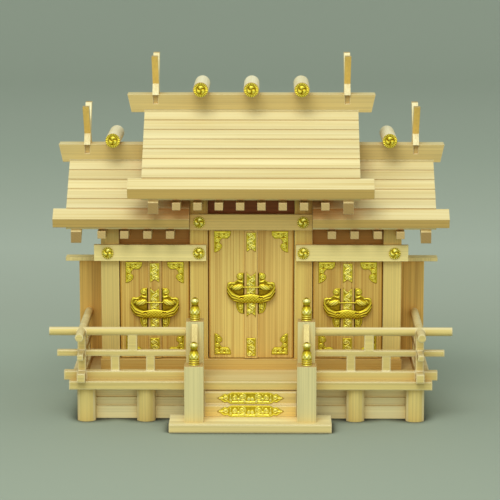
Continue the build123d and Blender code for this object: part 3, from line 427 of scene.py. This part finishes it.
def paint_body():
    """Lintels, pillars, head boards, walls, sill, floor, wing boards and doors."""
    main = wood("main_lintel_wood", "x", STRAW, STRAW_DARK, seed=1.5, face=LINTEL_MAIN)
    paint(["main_lintel"], main)
    side = wood("side_lintel_wood", "x", STRAW, STRAW_DARK, seed=1.6, face=LINTEL_SIDE)
    paint(["side_lintels"], side)
    pillars = wood("pillar_wood", "z", PILLAR, HONEY_DARK, ring=2.8, seed=2.9,
                   outer=(PILLAR_OUTER, OUTER_PILLARS, "X"))
    paint(["pillars"], pillars)
    # Painted shade under the eaves, lighter on the side bays' head boards
    heads = wood("shade_wood", "x", SHADE_WOOD, SHADE_GRAIN, ring=3.0, strength=0.4, seed=8.3,
                 outer=(SHADE_OUTER, OUTER_HEADS, "X"))
    paint(["head_boards"], heads)
    walls = wood("wall_wood", "z", STRAW, DOOR_GRAIN, ring=3.0, seed=7.9, boards=(AXES["x"], WALL_BOARD))
    paint(["side_walls", "back_wall_main", "back_walls_side"], walls)
    paint(["sill", "body_floor"], wood("honey_wood", "x", HONEY, HONEY_DARK, ring=2.6, seed=1.7))
    # The caps take a pale tone as painted light, on their front and on their top and bottom end grain
    wings = wood("wing_wood", "z", WING_WOOD, DOOR_GRAIN, ring=3.2, strength=0.55, seed=5.7,
                 outer=(WING_CAP, WING_CAP_FOOT, "Z"), end=WING_CAP)
    paint(["wing_boards"], wings)
    for hand, tone, ring, strength, seed in (("left", DOOR_WOOD, 2.3, 0.78, 4.2),
                                             ("right", DOOR_WARM, 2.7, 0.72, 4.9)):
        leaf = wood("door_wood_" + hand, "z", tone, DOOR_GRAIN, ring, strength, seed)
        paint(["centre_door_" + hand], leaf)
    for hand, ring, strength, seed in (("left", 2.4, 0.76, 4.5), ("right", 2.6, 0.72, 5.2)):
        leaf = wood("side_door_wood_" + hand, "z", SIDE_DOOR, SIDE_DOOR_GRAIN, ring, strength, seed)
        paint(["left_door_" + hand, "right_door_" + hand], leaf)


def paint_deck():
    """Deck, railings, base and stair, and the rafters, which share the wood of the base's sides."""
    rails = wood("long_wood", "x", STRAW, STRAW_DARK, seed=1.1, face=FACE, edge=STEP_EDGE)
    paint(["deck", "railing_left", "railing_right"], rails)
    paint(["deck_posts"], wood("upright_wood", "z", STRAW, STRAW_DARK, ring=2.6, seed=2.3, face=FACE))
    base = wood("base_wood", "x", BASE, STRAW_DARK, ring=3.4, strength=0.4, seed=1.25, face=BASE)
    paint(["base_front_board", "base_back_board"], base)
    paint(["rafters", "base_side_boards"], wood("deep_wood", "y", STRAW, STRAW_DARK, seed=3.1))
    plank = wood("pale_wood", "x", BASE, STRAW_DARK, ring=2.8, strength=0.4, seed=1.2, face=PALE,
                 edge=STEP_EDGE)
    paint(["base_plank"], plank)
    steps = wood("step_wood", "x", STRAW, STRAW_DARK, ring=2.8, seed=1.9, face=STEP, edge=STEP_EDGE)
    paint(["stair_steps"], steps)
    paint(["stair_posts"], wood("post_wood", "z", STRAW, STRAW_DARK, ring=2.6, seed=2.1, face=POST))
    handrails = wood("handrail_wood", "z", LINTEL_SIDE, STRAW_DARK, ring=2.8, strength=0.3, seed=3.3)
    paint(["stair_handrails"], handrails)


def paint_gilt():
    """Plates, studs, caps and finials; gives their material."""
    brass = gilt("gilt_brass")
    paint([name for name in NODES if name.endswith("_fittings")], brass)
    paint(["post_finials", "stair_plates", "lintel_bosses", "log_caps"], brass)
    return brass


# Relief of the gilt, in millimetres, where y = 0 is the doors' face and MIDDLE the middle of the part
MIDDLE = 20.25
# Pitch of the relief's points, and thickness of the sheet
CELL = 0.42
SHEET = 0.45


def real(x, y, z):
    """A place in those millimetres as a place in the scene's metres."""
    return (x / 1000, (y - MIDDLE) / 1000, z / 1000)


def closed_mesh(bm, name):
    """A smooth mesh of a closed bmesh, its faces turned outwards."""
    bmesh.ops.recalc_face_normals(bm, faces=bm.faces)
    mesh = bpy.data.meshes.new(name)
    bm.to_mesh(mesh)
    bm.free()
    mesh.shade_smooth()
    return mesh


def between(p0, p1, p2, p3, t):
    """A smooth line through four points, at the share t of the way from p1 to p2."""
    return 0.5 * (2 * p1 + (p2 - p0) * t + (2 * p0 - 5 * p1 + 4 * p2 - p3) * t * t
                  + (3 * p1 - p0 - 3 * p2 + p3) * t ** 3)


def curve(points, steps=7):
    """A closed smooth line through (u, v) points; a point given twice in a row is a corner."""
    out = []
    count = len(points)
    for i in range(count):
        p0, p1, p2, p3 = (np.array(points[(i + k) % count], float) for k in (-1, 0, 1, 2))
        if np.allclose(p1, p2):
            continue
        if np.allclose(p0, p1) and np.allclose(p2, p3):
            out.append(p1)
            continue
        out += [between(p0, p1, p2, p3, k / steps) for k in range(steps)]
    return np.array(out)


def mirrored(line):
    """The points of a line on the other side of u = 0, in reverse order."""
    return [(-u, v) for u, v in reversed(line)]


def spiral(u, v, radius, start, turns, inner=0.3, steps=26):
    """A scroll that winds in towards (u, v); negative turns wind clockwise."""
    t = np.linspace(0, 1, steps)
    r = radius * (1 - (1 - inner) * t)
    a = math.radians(start) + 2 * math.pi * turns * t
    return np.stack([u + r * np.cos(a), v + r * np.sin(a)], axis=1)


def nearest(points, line, closed=False):
    """For each point, its distance to a line of points and the nearest place on it."""
    first = line
    second = np.roll(line, -1, axis=0)
    if not closed:
        first, second = first[:-1], second[:-1]
    best = np.full(len(points), 1e9)
    place = points.copy()
    for a, b in zip(first, second):
        ab = b - a
        length = max(float(ab @ ab), 1e-12)
        t = np.clip(((points - a) @ ab) / length, 0, 1)
        spot = a + t[:, None] * ab
        d = np.hypot(*(points - spot).T)
        closer = d < best
        best[closer] = d[closer]
        place[closer] = spot[closer]
    return best, place


def inside(points, line):
    """Whether each point lies within a closed line of points."""
    hit = np.zeros(len(points), bool)
    for a, b in zip(line, np.roll(line, -1, axis=0)):
        if a[1] == b[1]:
            continue
        crosses = (points[:, 1] > a[1]) != (points[:, 1] > b[1])
        where = a[0] + (points[:, 1] - a[1]) * (b[0] - a[0]) / (b[1] - a[1])
        hit ^= crosses & (points[:, 0] < where)
    return hit


def pressed(outline, height, cell=CELL):
    """A closed sheet of that outline, with points a cell apart.

    height(points, edge distance) gives how far each place stands out and how bright it is painted, 0 to 1, as
    painted light and shade of the relief.
    """
    low = outline.min(axis=0) - cell
    high = outline.max(axis=0) + cell
    nu, nv = (int(n) + 1 for n in (high - low) / cell)
    u, v = np.meshgrid(low[0] + cell * np.arange(nu + 1), low[1] + cell * np.arange(nv + 1), indexing="ij")
    points = np.stack([u.ravel(), v.ravel()], axis=1)
    middles = (points.reshape(nu + 1, nv + 1, 2)[:-1, :-1] + cell / 2).reshape(-1, 2)
    keep = inside(middles, outline).reshape(nu, nv)
    index = np.arange((nu + 1) * (nv + 1)).reshape(nu + 1, nv + 1)
    bm = bmesh.new()
    layer = bm.verts.layers.float.new("tone")
    verts = {}

    def vert(i):
        if i not in verts:
            verts[i] = bm.verts.new((points[i][0], points[i][1], 0.0))
        return verts[i]

    for i, j in np.argwhere(keep):
        corners = (index[i, j], index[i + 1, j], index[i + 1, j + 1], index[i, j + 1])
        bm.faces.new([vert(int(c)) for c in corners])
    used = np.array(sorted(verts))
    rim = np.array([verts[int(i)].is_boundary for i in used])
    spots = points[used]
    distance, place = nearest(spots, outline, closed=True)
    spots[rim] = place[rim]
    distance[rim] = 0.0
    heights, tones = height(spots, distance)
    for i, spot, h, tone in zip(used, spots, heights, tones):
        verts[int(i)].co = (spot[0], spot[1], h)
        verts[int(i)][layer] = tone
    edges = [edge for edge in bm.edges if edge.is_boundary]
    ring = bmesh.ops.extrude_edge_only(bm, edges=edges)["geom"]
    for one in ring:
        if isinstance(one, bmesh.types.BMVert):
            one.co.z = 0.0
            # The sheet's sides take a dark tone, as painted shade
            one[layer] = 0.1
    bmesh.ops.holes_fill(bm, edges=[edge for edge in bm.edges if edge.is_boundary], sides=0)
    return bm


def engraved(lines, beads=(), deep=SHEET, rim=0.45, ridge=0.75, width=0.62, light=0.0):
    """A height rule: a raised rim, raised lines and round beads of (u, v, radius, height)."""
    def height(points, edge):
        out = deep + rim * np.exp(-((edge - 0.75) / 0.5) ** 2)
        out = np.where(edge < 0.01, deep + 0.1, out)
        for line in lines:
            d, _ = nearest(points, line)
            out = np.maximum(out, deep + ridge * np.exp(-(d / width) ** 2))
        for u, v, radius, tall in beads:
            d = np.hypot(points[:, 0] - u, points[:, 1] - v) / radius
            out = np.maximum(out, deep + tall * np.sqrt(np.clip(1 - d * d, 0, 1)))
        # Painted highlight on the raised lines and beads, painted shade in the hollows, and a dark painted
        # outline
        tone = 0.28 + light + 0.6 * np.clip((out - deep) / ridge, 0, 1) ** 0.8
        return out, np.where(edge < 0.01, 0.25, tone)
    return height


def settle(bm, name, face, at, flip=(1, 1)):
    """Stands a pressed sheet on the plane y = face, with its (0, 0) at (x, z), all in millimetres."""
    for v in bm.verts:
        u, w, h = v.co
        v.co = real(at[0] + flip[0] * u, face - h, at[1] + flip[1] * w)
    return closed_mesh(bm, name)


def fitting(name, meshes, material, body, node):
    """Joins meshes into one piece that rides on a body and stands for a node."""
    bm = bmesh.new()
    tones = []
    for mesh in meshes:
        tones += [one.value for one in mesh.attributes["tone"].data]
        mesh.attributes.remove(mesh.attributes["tone"])
        bm.from_mesh(mesh)
    whole = bpy.data.meshes.new(name)
    bm.to_mesh(whole)
    bm.free()
    whole.attributes.new("tone", "FLOAT", "POINT").data.foreach_set("value", tones)
    whole.materials.append(material)
    piece = bpy.data.objects.new(name, whole)
    bpy.context.scene.collection.objects.link(piece)
    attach(piece, body)
    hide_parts(node)
    return piece


# Corner plate, with (0, 0) at the outer corner and the arms running to +u and -v
CORNER = curve([
    (0, 0), (0, 0), (18.6, 0), (18.6, 0), (18.2, -4.6), (15.4, -8.2), (12.2, -8.6), (9.4, -8.4),
    (7.2, -10.2), (6.2, -13.4), (8.4, -15.2), (8.7, -18.2), (6.2, -21.6),
    (2.4, -24), (2.4, -24), (0, -24), (0, -24),
])
CORNER_LINES = [
    spiral(14.0, -4.2, 2.7, 200, 1.3),
    spiral(8.4, -4.4, 2.7, -20, -1.3),
    spiral(3.3, -4.6, 2.2, 100, 1.2),
    spiral(3.2, -10.6, 2.2, 80, -1.2),
    spiral(4.9, -17.0, 2.6, 120, 1.3),
    spiral(2.7, -21.6, 1.4, 90, -0.9),
    np.array([(1.6, -2.0), (11.0, -1.9), (17.0, -2.4)]),
    np.array([(1.9, -7.6), (5.2, -13.4), (3.4, -19.6)]),
]
CORNER_BEADS = [
    (14.0, -4.2, 0.9, 0.8), (8.4, -4.4, 0.9, 0.8), (4.9, -17.0, 0.9, 0.8),
    (3.2, -10.6, 0.8, 0.7), (11.2, -6.6, 0.8, 0.6), (6.4, -8.4, 0.8, 0.6),
]


def strip_plate(width, height, notches):
    """A batten plate hanging from v = 0, with a square foot, a notched foot or two notched ends."""
    half = width / 2
    notch = 3.2
    top = [(-half, 0), (-half, 0), (half, 0), (half, 0)]
    if notches > 1:
        top = [(-half, -1.0), (-half * 0.8, 0), (0, -notch), (0, -notch), (half * 0.8, 0), (half, -1.0)]
    foot = [(half, -height), (half, -height), (-half, -height), (-half, -height)]
    if notches:
        foot = [(half, -height + 1.6), (half * 0.8, -height), (0, -height + notch), (0, -height + notch),
                (-half * 0.8, -height), (-half, -height + 1.6)]
    outline = curve(top + foot)
    lines = []
    beads = []
    count = max(2, int(height / 5.2))
    for index in range(count):
        v = -2.6 - (height - 6.4) * index / (count - 1)
        side = 1 if index % 2 else -1
        lines.append(spiral(side * half * 0.28, v, half * 0.52, 90 - side * 90, side * 1.25))
        beads.append((side * half * 0.28, v, 0.8, 0.75))
        beads.append((-side * half * 0.62, v - 2.0, 0.6, 0.5))
    along = np.linspace(0, 1, 30)
    sway = half * 0.5 * np.sin(along * math.pi * count)
    lines.append(np.stack([sway, -1.6 - (height - 4.4) * along], axis=1))
    return outline, engraved(lines, beads, light=0.12)


# Right halves of the boat-shaped plate's upper and lower edges, with (0, 0) at the lock's centre
BOAT = [(26.6, 11.8), (21.4, 4.0), (13.0, -0.4), (6.0, 0.8), (0, 1.5)]
BOAT_UNDER = [(0, -9.2), (8.0, -9.2), (17.4, -8.2), (24.2, -3.2), (27.0, 3.5)]
# Outline of the lock's cross bar
CROSS_BAR = [(-10, 8.1), (-10, 8.1), (-10, 9.8), (-10, 9.8), (10, 9.8), (10, 9.8), (10, 8.1), (10, 8.1)]
# Right wing of the lock, with (0, 0) at the lock's centre
WING = [
    (7.8, 24.2), (7.8, 24.2), (12.6, 24.4), (15.6, 22.6), (16.4, 19.4), (15.2, 17.0),
    (16.9, 15.4), (20.0, 13.6), (23.6, 13.8), (26.2, 12.6), (26.4, 7.0), (23.6, -1.0),
    (18.2, -7.4), (17.0, -10.6), (16.4, -15.2), (13.2, -20.8), (7.8, -22.2), (7.8, -22.2),
]
WING_LINES = [
    spiral(12.2, 20.4, 3.0, 60, -1.4),
    spiral(11.8, -14.4, 2.6, 100, 1.3),
    spiral(12.2, 20.4, 1.4, 200, -0.9, 0.5),
    np.array([(18.4, 12.4), (22.4, 12.6), (25.0, 11.4), (25.2, 7.0), (23.6, 2.6)]),
    np.array([(21.0, 9.8), (23.4, 7.0)]),
    np.array([(8.6, 15.0), (11.0, 14.0), (14.0, 15.0)]),
    np.array([(8.8, 22.8), (8.9, 17.0), (9.4, 13.0)]),
    np.array([(8.9, -11.0), (9.0, -18.0), (10.4, -20.6)]),
    np.array([(13.8, -9.6), (13.6, -15.0), (11.6, -19.6)]),
    np.array([(24.6, 5.0), (21.4, -3.0), (15.8, -7.6)]),
]


def wing_height(points, edge):
    """Scrolls, and a ribbed leaf in the middle of the wing."""
    base = engraved(WING_LINES, [(12.2, 20.4, 0.8, 0.8), (11.8, -14.4, 0.9, 0.8)])
    out, tone = base(points, edge)
    u, v = points.T
    leaf = 1 - ((u - 15.0 + 0.3 * (v - 8)) / 6.4) ** 2 - ((v - 7.6 + 0.12 * (u - 15)) / 3.4) ** 2
    ribs = np.cos((0.8 * u + v) * 2.3)
    raised = SHEET + np.where(leaf > 0, 1.15 * np.sqrt(np.clip(leaf, 0, 1)) + 0.16 * ribs, 0)
    # Painted highlight on the leaf's crest and ribs
    shade = np.clip(0.5 + 0.25 * ribs + 0.3 * np.clip(leaf, 0, 1), 0, 1)
    tone = np.where((leaf > 0) & (raised > out), shade, tone)
    # A dark painted line along the inner edge, as the shadow beside the batten
    return np.maximum(out, raised), np.where(u < 8.7, 0.0, tone)


def boat_height(points, edge):
    """A rolled bar: an upper lip with a painted highlight, a chased middle and ribbed ends."""
    u, v = points.T
    out = 0.5 + 1.7 * np.sqrt(np.clip(1 - (1 - np.clip(edge / 3.8, 0, 1)) ** 2, 0, 1))
    far = np.abs(u)
    upper = np.interp(far, [0, 6.0, 13.0, 21.4, 26.6], [1.5, 0.8, -0.4, 4.0, 11.8])
    below = (upper - v) * np.interp(far, [0, 14.0, 24.0], [1.0, 0.9, 0.6])
    lip = np.exp(-((below - 1.0) / 0.65) ** 2)
    ends = np.clip((far - 11.5) / 4.0, 0, 1)
    ribs = np.cos(2 * math.pi * below / 2.2)
    chased = np.sin(u * 1.9) * np.sin(v * 2.1 + 0.4 * np.sin(u))
    out = out + 0.2 * lip + 0.2 * (1 - lip) * (ends * ribs + (1 - ends) * chased)
    # Tone: painted highlight along the lip, with the ribs and chasing painted lighter where they stand out
    tone = 0.42 + (1 - lip) * (0.34 * ends * ribs + 0.2 * (1 - ends) * chased) + 0.16 * lip
    # Lighter in the upper middle
    tone = tone + 0.16 * np.clip(1 - (far / 9.0) ** 4, 0, 1) * np.clip(1.6 - below / 4.0, 0, 1)
    # Lighter towards the bottom, and painted shade along the outline
    tone = tone + 0.05 * np.clip((below - 4.0) / 5.0, 0, 1) - 0.3 * np.clip(1 - edge / 0.7, 0, 1)
    # Slots sunk into the bar, painted dark as shade
    slot = (np.abs(far - 10.4) < 2.1) & (np.abs(v + 3.0) < 0.7)
    return np.where(slot, 1.1, out), np.where(slot, 0.0, np.clip(tone, 0, 1))


def knuckled(points, edge):
    """A round bar with a knob near each end, with painted highlight along its crown and painted shade on its
    flanks.
    """
    u, v = points.T
    knob = np.exp(-((np.abs(u) - 8.6) / 1.0) ** 2)
    round_bar = 1.1 * np.sqrt(np.clip(1 - (1 - np.clip(edge / 0.85, 0, 1)) ** 2, 0, 1))
    return 0.5 + round_bar + 0.5 * knob * (edge > 0), 0.35 + 0.6 * np.clip(edge / 0.85, 0, 1)


# Planes that the plates lie on, as places along y: leaf, batten, lock, lintel studs
LEAF_FACE = 0.0
BATTEN_FACE = -3.0
LOCK_FACE = -3.9
STUD_FACE = -8.0
# Bays as (name, middle, half width, lintel's underside, lock's centre), and the leaves' lower edge
BAYS = (
    ("centre", 0.0, 48.2, 204.8, 131.0),
    ("left", -107.5, 39.5, 170.0, 113.5),
    ("right", 107.5, 39.5, 170.0, 113.5),
)
LEAF_FOOT = 58.5


def lock_plates(side, middle, lock):
    """A wing on each leaf; the right leaf (side 1) also carries the batten's plate, the boat and the bar."""
    meshes = [settle(pressed(curve(WING), wing_height), "wing_sheet", LEAF_FACE, (middle, lock), (side, 1))]
    if side < 0:
        return meshes
    outline, height = strip_plate(10.0, 47.6, 2)
    meshes.append(settle(pressed(outline, height), "lock_sheet", BATTEN_FACE, (middle, lock + 24.0)))
    left = mirrored(BOAT[:-1])
    points = BOAT[:1] + BOAT + left + left[-1:] + mirrored(BOAT_UNDER[1:]) + BOAT_UNDER
    meshes.append(settle(pressed(curve(points), boat_height), "boat", LOCK_FACE, (middle, lock)))
    bar = pressed(curve(CROSS_BAR), knuckled, 0.3)
    meshes.append(settle(bar, "cross_bar", LOCK_FACE, (middle, lock)))
    return meshes


def door_fittings(material):
    """The pressed plates of each leaf, and the lock on the right one."""
    for bay, middle, half, lintel, lock in BAYS:
        for name, side in (("left", -1), ("right", 1)):
            body = bay + "_door_" + name
            outer = middle + side * (half - 7.0)
            high = engraved(CORNER_LINES, CORNER_BEADS)
            meshes = []
            for z, up in ((lintel - 2.2, 1), (LEAF_FOOT + 3.7, -1)):
                meshes.append(settle(pressed(CORNER, high), "corner", LEAF_FACE, (outer, z), (-side, up)))
            meshes += lock_plates(side, middle, lock)
            if side > 0:
                for z, up, notches, length in ((lintel - 3.4, 1, 1, 21.2), (LEAF_FOOT + 2.8, -1, 0, 20.4)):
                    outline, height = strip_plate(10.4, length, notches)
                    strip = pressed(outline, height)
                    meshes.append(settle(strip, "strip", BATTEN_FACE, (middle, z), (1, up)))
            fitting(body + "_gilt", meshes, material, body, body + "_fittings")


# Studs on the lintels and caps on the logs' ends, as (radius, thickness, petals)
STUD = (6.6, 2.0, 18)
CAP = (8.0, 1.2, 22)


def stud_rule(r, a, petals, rim):
    """Height and tone, each 0 to 1, at a share r of the radius and an angle a; the tone is painted highlight
    where the stud stands out and painted shade in its gaps.

    Three commas lie inside rim, a share of the radius, and scallops outside it.
    """
    scallop = abs(math.sin(a * petals / 2)) ** 0.8
    comma = math.cos(1.5 * (a + 1.3 * (r - 0.4) + 0.52)) ** 2
    if r < rim:
        swell = comma ** 0.5 * min(1.0, 0.3 + 2.2 * r)
        return 0.46 + 0.46 * swell * math.sqrt(1 - (r / (rim + 0.04)) ** 2), 0.14 + 0.76 * swell
    if r < rim + 0.06:
        return 0.34, 0.26
    return 0.26 + 0.4 * scallop, 0.08 + 0.8 * scallop


def round_stud(radius, thick, petals, name, x, face, z, back=False, dim=0.0, rim=0.72):
    """A round stud on the plane y = face; back turns it round and dim darkens it as painted shade, or
    lightens it as painted light when below 0.
    """
    bm = bmesh.new()
    layer = bm.verts.layers.float.new("tone")
    turns = 8 * petals
    rings = 24
    top = bm.verts.new((0, 0, thick))
    top[layer] = 0.95
    rows = []
    for i in range(1, rings + 1):
        r = i / rings
        row = []
        for k in range(turns):
            a = 2 * math.pi * k / turns
            h, tone = stud_rule(r, a, petals, rim)
            lobe = 0.955 + 0.045 * abs(math.sin(a * petals / 2)) if i == rings else 1.0
            out = radius * r * lobe
            row.append(bm.verts.new((out * math.cos(a), out * math.sin(a), thick * h)))
            row[-1][layer] = tone - dim
        rows.append(row)
    rows.append([bm.verts.new((v.co.x, v.co.y, 0)) for v in rows[-1]])
    for k in range(turns):
        n = (k + 1) % turns
        bm.faces.new((top, rows[0][k], rows[0][n]))
        for inner, outer in zip(rows, rows[1:]):
            bm.faces.new((inner[k], outer[k], outer[n], inner[n]))
    bm.faces.new(list(reversed(rows[-1])))
    for v in bm.verts:
        u, w, h = v.co
        v.co = real(x + u, face + h if back else face - h, z + w)
    return closed_mesh(bm, name)


def studs(material):
    """The lintels' studs and the caps on the logs' ends."""
    meshes = []
    for x, z in ((57.5, 213.6), (58.0, 179.0), (159.2, 179.0)):
        for side in (1, -1):
            meshes.append(round_stud(*STUD, "stud", side * x, STUD_FACE, z, dim=-0.04))
    fitting("lintel_studs", meshes, material, "shrine", "lintel_bosses")
    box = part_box("log_caps")
    front = box[0][1] * 1000 + MIDDLE
    back = box[1][1] * 1000 + MIDDLE
    main_z = box[1][2] * 1000 - CAP[0]
    side_z = box[0][2] * 1000 + CAP[0]
    meshes = []
    for x, z in ((-55.9, main_z), (0.0, main_z), (55.9, main_z), (-153.6, side_z), (153.6, side_z)):
        meshes.append(round_stud(*CAP, "cap", x, front + CAP[1], z, dim=0.06, rim=0.58))
        meshes.append(round_stud(*CAP, "cap", x, back - CAP[1], z, back=True, dim=0.12))
    fitting("log_rosettes", meshes, material, "shrine", "log_caps")


# Riser plates as (face along y, middle height), their half height and the right end's upper edge
RISERS = ((-76.0, 15.8), (-70.0, 29.1))
RISER_HALF = 6.5
RISER_EDGE = [(17.6, 1.0), (21.8, 0.95), (24.2, 0.78), (25.6, 0.62), (27.6, 0.76), (29.8, 0.64), (32.8, 0.32)]


def stair_sheets(material):
    """A pressed vine plate on the riser of each step."""
    upper = [(u, RISER_HALF * share) for u, share in RISER_EDGE]
    right = upper + [(36.5, 0), (36.5, 0)] + [(u, -v) for u, v in reversed(upper)]
    outline = curve(right + [(-u, -v) for u, v in right])
    lines = []
    beads = []
    for u, v, radius in ((17.6, 0.2, 2.8), (9.0, 0.9, 4.2), (2.2, -1.2, 1.8)):
        for side in (1, -1):
            lines.append(spiral(side * u, v, radius, 90, side * 1.6, 0.2))
            lines.append(spiral(side * (u + 4.4), v - 2.4, 1.4, -90, -side * 0.9))
            beads.append((side * (u + 4.2), v + 2.8, 0.8, 0.6))
    beads += [(9.0, 1.0, 2.2, 0.5), (-9.0, 1.0, 2.2, 0.5)]
    for side in (1, -1):
        lines.append(spiral(side * 27.0, 0.0, 2.4, 90 - side * 90, side * 1.4))
        lines.append(np.array([(side * 29.0, 0.0), (side * 34.5, 0.0)]))
        lines.append(np.array([(side * 22.4, -3.2), (side * 22.0, 3.2)]))
    lines.append(np.array([(-20, -4.3), (-8, -4.0), (0, -4.4), (8, -4.0), (20, -4.3)]))
    high = engraved(lines, beads, width=0.55, light=0.14)
    meshes = [settle(pressed(outline, high), "riser", face, (0.0, z)) for face, z in RISERS]
    fitting("stair_vines", meshes, material, "shrine", "stair_plates")


# Outline of a post's finial as (radius, height), and the posts' tops as (y, z) with their distance from x = 0
FINIAL_LINE = [
    (5.9, 0.0), (5.9, 0.8), (5.5, 1.2), (5.2, 1.7), (5.4, 2.3), (5.7, 2.8), (5.7, 3.2), (5.4, 3.7),
    (5.25, 4.0), (5.5, 4.6), (5.75, 5.2), (5.65, 5.8), (5.4, 6.3), (5.6, 7.0), (5.8, 8.2), (5.75, 9.6),
    (5.4, 11.4), (4.8, 13.2), (4.2, 14.9), (3.7, 16.3), (3.6, 17.3), (3.9, 18.2), (4.1, 19.2),
    (4.6, 20.6), (4.65, 21.8), (4.2, 23.0), (3.2, 24.1), (1.9, 24.9), (0.9, 25.3), (0.0, 25.5),
]
POST_TOPS = ((-88.8, 70.8), (-52.5, 112.5))
POST_OUT = 61.0


def lathe(name, line, x, y, z, turns=96):
    """A turned piece from its (radius, height) line, with scales on the belly and flutes on the knob."""
    points = []
    last = len(line) - 1
    for i in range(last):
        near = [np.array(line[min(max(i + k, 0), last)]) for k in (-1, 0, 1, 2)]
        points += [between(*near, t) for t in (0.0, 0.5)]
    bm = bmesh.new()
    layer = bm.verts.layers.float.new("tone")
    carved = {}
    rows = []
    for r, h in points:
        belly = math.exp(-((h - 10.2) / 3.4) ** 4)
        knob = math.exp(-((h - 21.2) / 1.9) ** 4)
        row = []
        for k in range(turns):
            turn = 2 * math.pi * k / turns
            scale = 0.3 * belly * math.cos(8 * turn) * math.cos(1.3 * (h - 9.4))
            scale -= 0.2 * knob * abs(math.sin(5 * turn))
            out = r + scale
            vert = bm.verts.new(real(x + out * math.cos(turn), y + out * math.sin(turn), z + h))
            carved[vert] = scale
            row.append(vert)
        rows.append(row)
    tip = bm.verts.new(real(x, y, z + line[-1][1]))
    radii = np.array([r for r, h in points] + [points[-1][0]])
    swollen = np.convolve(np.pad(radii, 4, "edge"), np.ones(9) / 9, "valid")
    for index, vert in enumerate(bm.verts):
        place = min(index // turns, len(radii) - 1)
        # Tone: painted shade in the necks, grooves and flutes, painted highlight on the swellings and raised
        # scales
        hollow = 1.5 * (radii[place] - swollen[place]) + 1.3 * carved.get(vert, 0.0)
        vert[layer] = min(1.0, max(0.05, 0.62 + hollow))
    for k in range(turns):
        n = (k + 1) % turns
        for low, high in zip(rows, rows[1:]):
            bm.faces.new((low[k], low[n], high[n], high[k]))
        bm.faces.new((rows[-1][k], rows[-1][n], tip))
    bm.faces.new(list(reversed(rows[0])))
    return closed_mesh(bm, name)


def finials(material):
    """Turned finials on the stair's four posts."""
    meshes = [lathe("finial", FINIAL_LINE, x, y, z) for y, z in POST_TOPS for x in (-POST_OUT, POST_OUT)]
    fitting("turned_finials", meshes, material, "shrine", "post_finials")


def backdrop():
    """A pale floor that curves up behind the shrine, with painted light and shade along it and a painted
    contact shadow where the shrine touches it.
    """
    straight = FLOOR_BACK - FLOOR_BEND
    points = [(FLOOR_FRONT, 0.0), (straight, 0.0)]
    for index in range(1, BEND_STEPS + 1):
        turn = math.pi / 2 * index / BEND_STEPS
        points.append((straight + FLOOR_BEND * math.sin(turn), FLOOR_BEND - FLOOR_BEND * math.cos(turn)))
    points.append((FLOOR_BACK, FLOOR_TOP))
    vertices = [(x, y, z) for y, z in points for x in (-FLOOR_HALF, FLOOR_HALF)]
    faces = [(2 * i, 2 * i + 1, 2 * i + 3, 2 * i + 2) for i in range(len(points) - 1)]
    mesh = bpy.data.meshes.new("floor")
    mesh.from_pydata(vertices, [], faces)
    mesh.shade_smooth()
    floor = bpy.data.objects.new("studio_floor", mesh)
    bpy.context.scene.collection.objects.link(floor)
    s = Shader("studio_floor")
    place = s.add("SeparateXYZ")
    s.join(s.add("TexCoord").outputs["Object"], place.inputs[0])
    first = FLOOR_TONES[0][0]
    last = FLOOR_TONES[-1][0]
    along = s.math("DIVIDE", s.math("SUBTRACT", place.outputs["Y"], first), last - first, clamp=True)
    stops = [((y - first) / (last - first), linear(tone)) for y, *tone in FLOOR_TONES]
    touch = s.add("AmbientOcclusion", {"Distance": CONTACT_REACH}, samples=8)
    contact = s.ramp(touch.outputs["AO"], CONTACT)
    s.join(s.mix(1.0, s.ramp(along, stops), contact, "MULTIPLY"), s.bsdf.inputs["Base Color"])
    s.bsdf.inputs["Roughness"].default_value = 0.85
    mesh.materials.append(s.material)


def lamp(name, place, power, size):
    """A soft square lamp that aims at the shrine."""
    data = bpy.data.lights.new(name, "AREA")
    data.energy = power
    data.size = size
    light = bpy.data.objects.new(name, data)
    light.location = place
    aim = Vector(LAMP_AIM) - Vector(place)
    light.rotation_euler = aim.to_track_quat("-Z", "Y").to_euler()
    bpy.context.scene.collection.objects.link(light)


def lighting():
    """Light from all round, and the lamps."""
    world = bpy.data.worlds.new("studio")
    world.use_nodes = True
    sky = world.node_tree.nodes["Background"]
    sky.inputs[0].default_value = SKY
    sky.inputs[1].default_value = SKY_STRENGTH
    bpy.context.scene.world = world
    for name, place, power, size in LAMPS:
        lamp(name, place, power, size)


def aim_camera():
    """The camera of the photograph."""
    camera = bpy.data.objects.new("camera", bpy.data.cameras.new("camera"))
    camera.data.sensor_width = SENSOR_WIDTH
    camera.data.lens = FOCAL_PIXELS / PHOTO_PIXELS * SENSOR_WIDTH
    camera.data.clip_end = FAR_CLIP
    turn = Matrix.Rotation(CAMERA_YAW, 4, "Z")
    tilt = Matrix.Rotation(math.pi / 2 - CAMERA_PITCH, 4, "X")
    camera.matrix_world = Matrix.Translation(CAMERA_AT) @ turn @ tilt
    bpy.context.scene.collection.objects.link(camera)
    bpy.context.scene.camera = camera


bpy.context.scene.view_settings.view_transform = "Standard"
paint_roofs()
paint_body()
paint_deck()
brass = paint_gilt()
door_fittings(brass)
studs(brass)
stair_sheets(brass)
finials(brass)
backdrop()
lighting()
aim_camera()
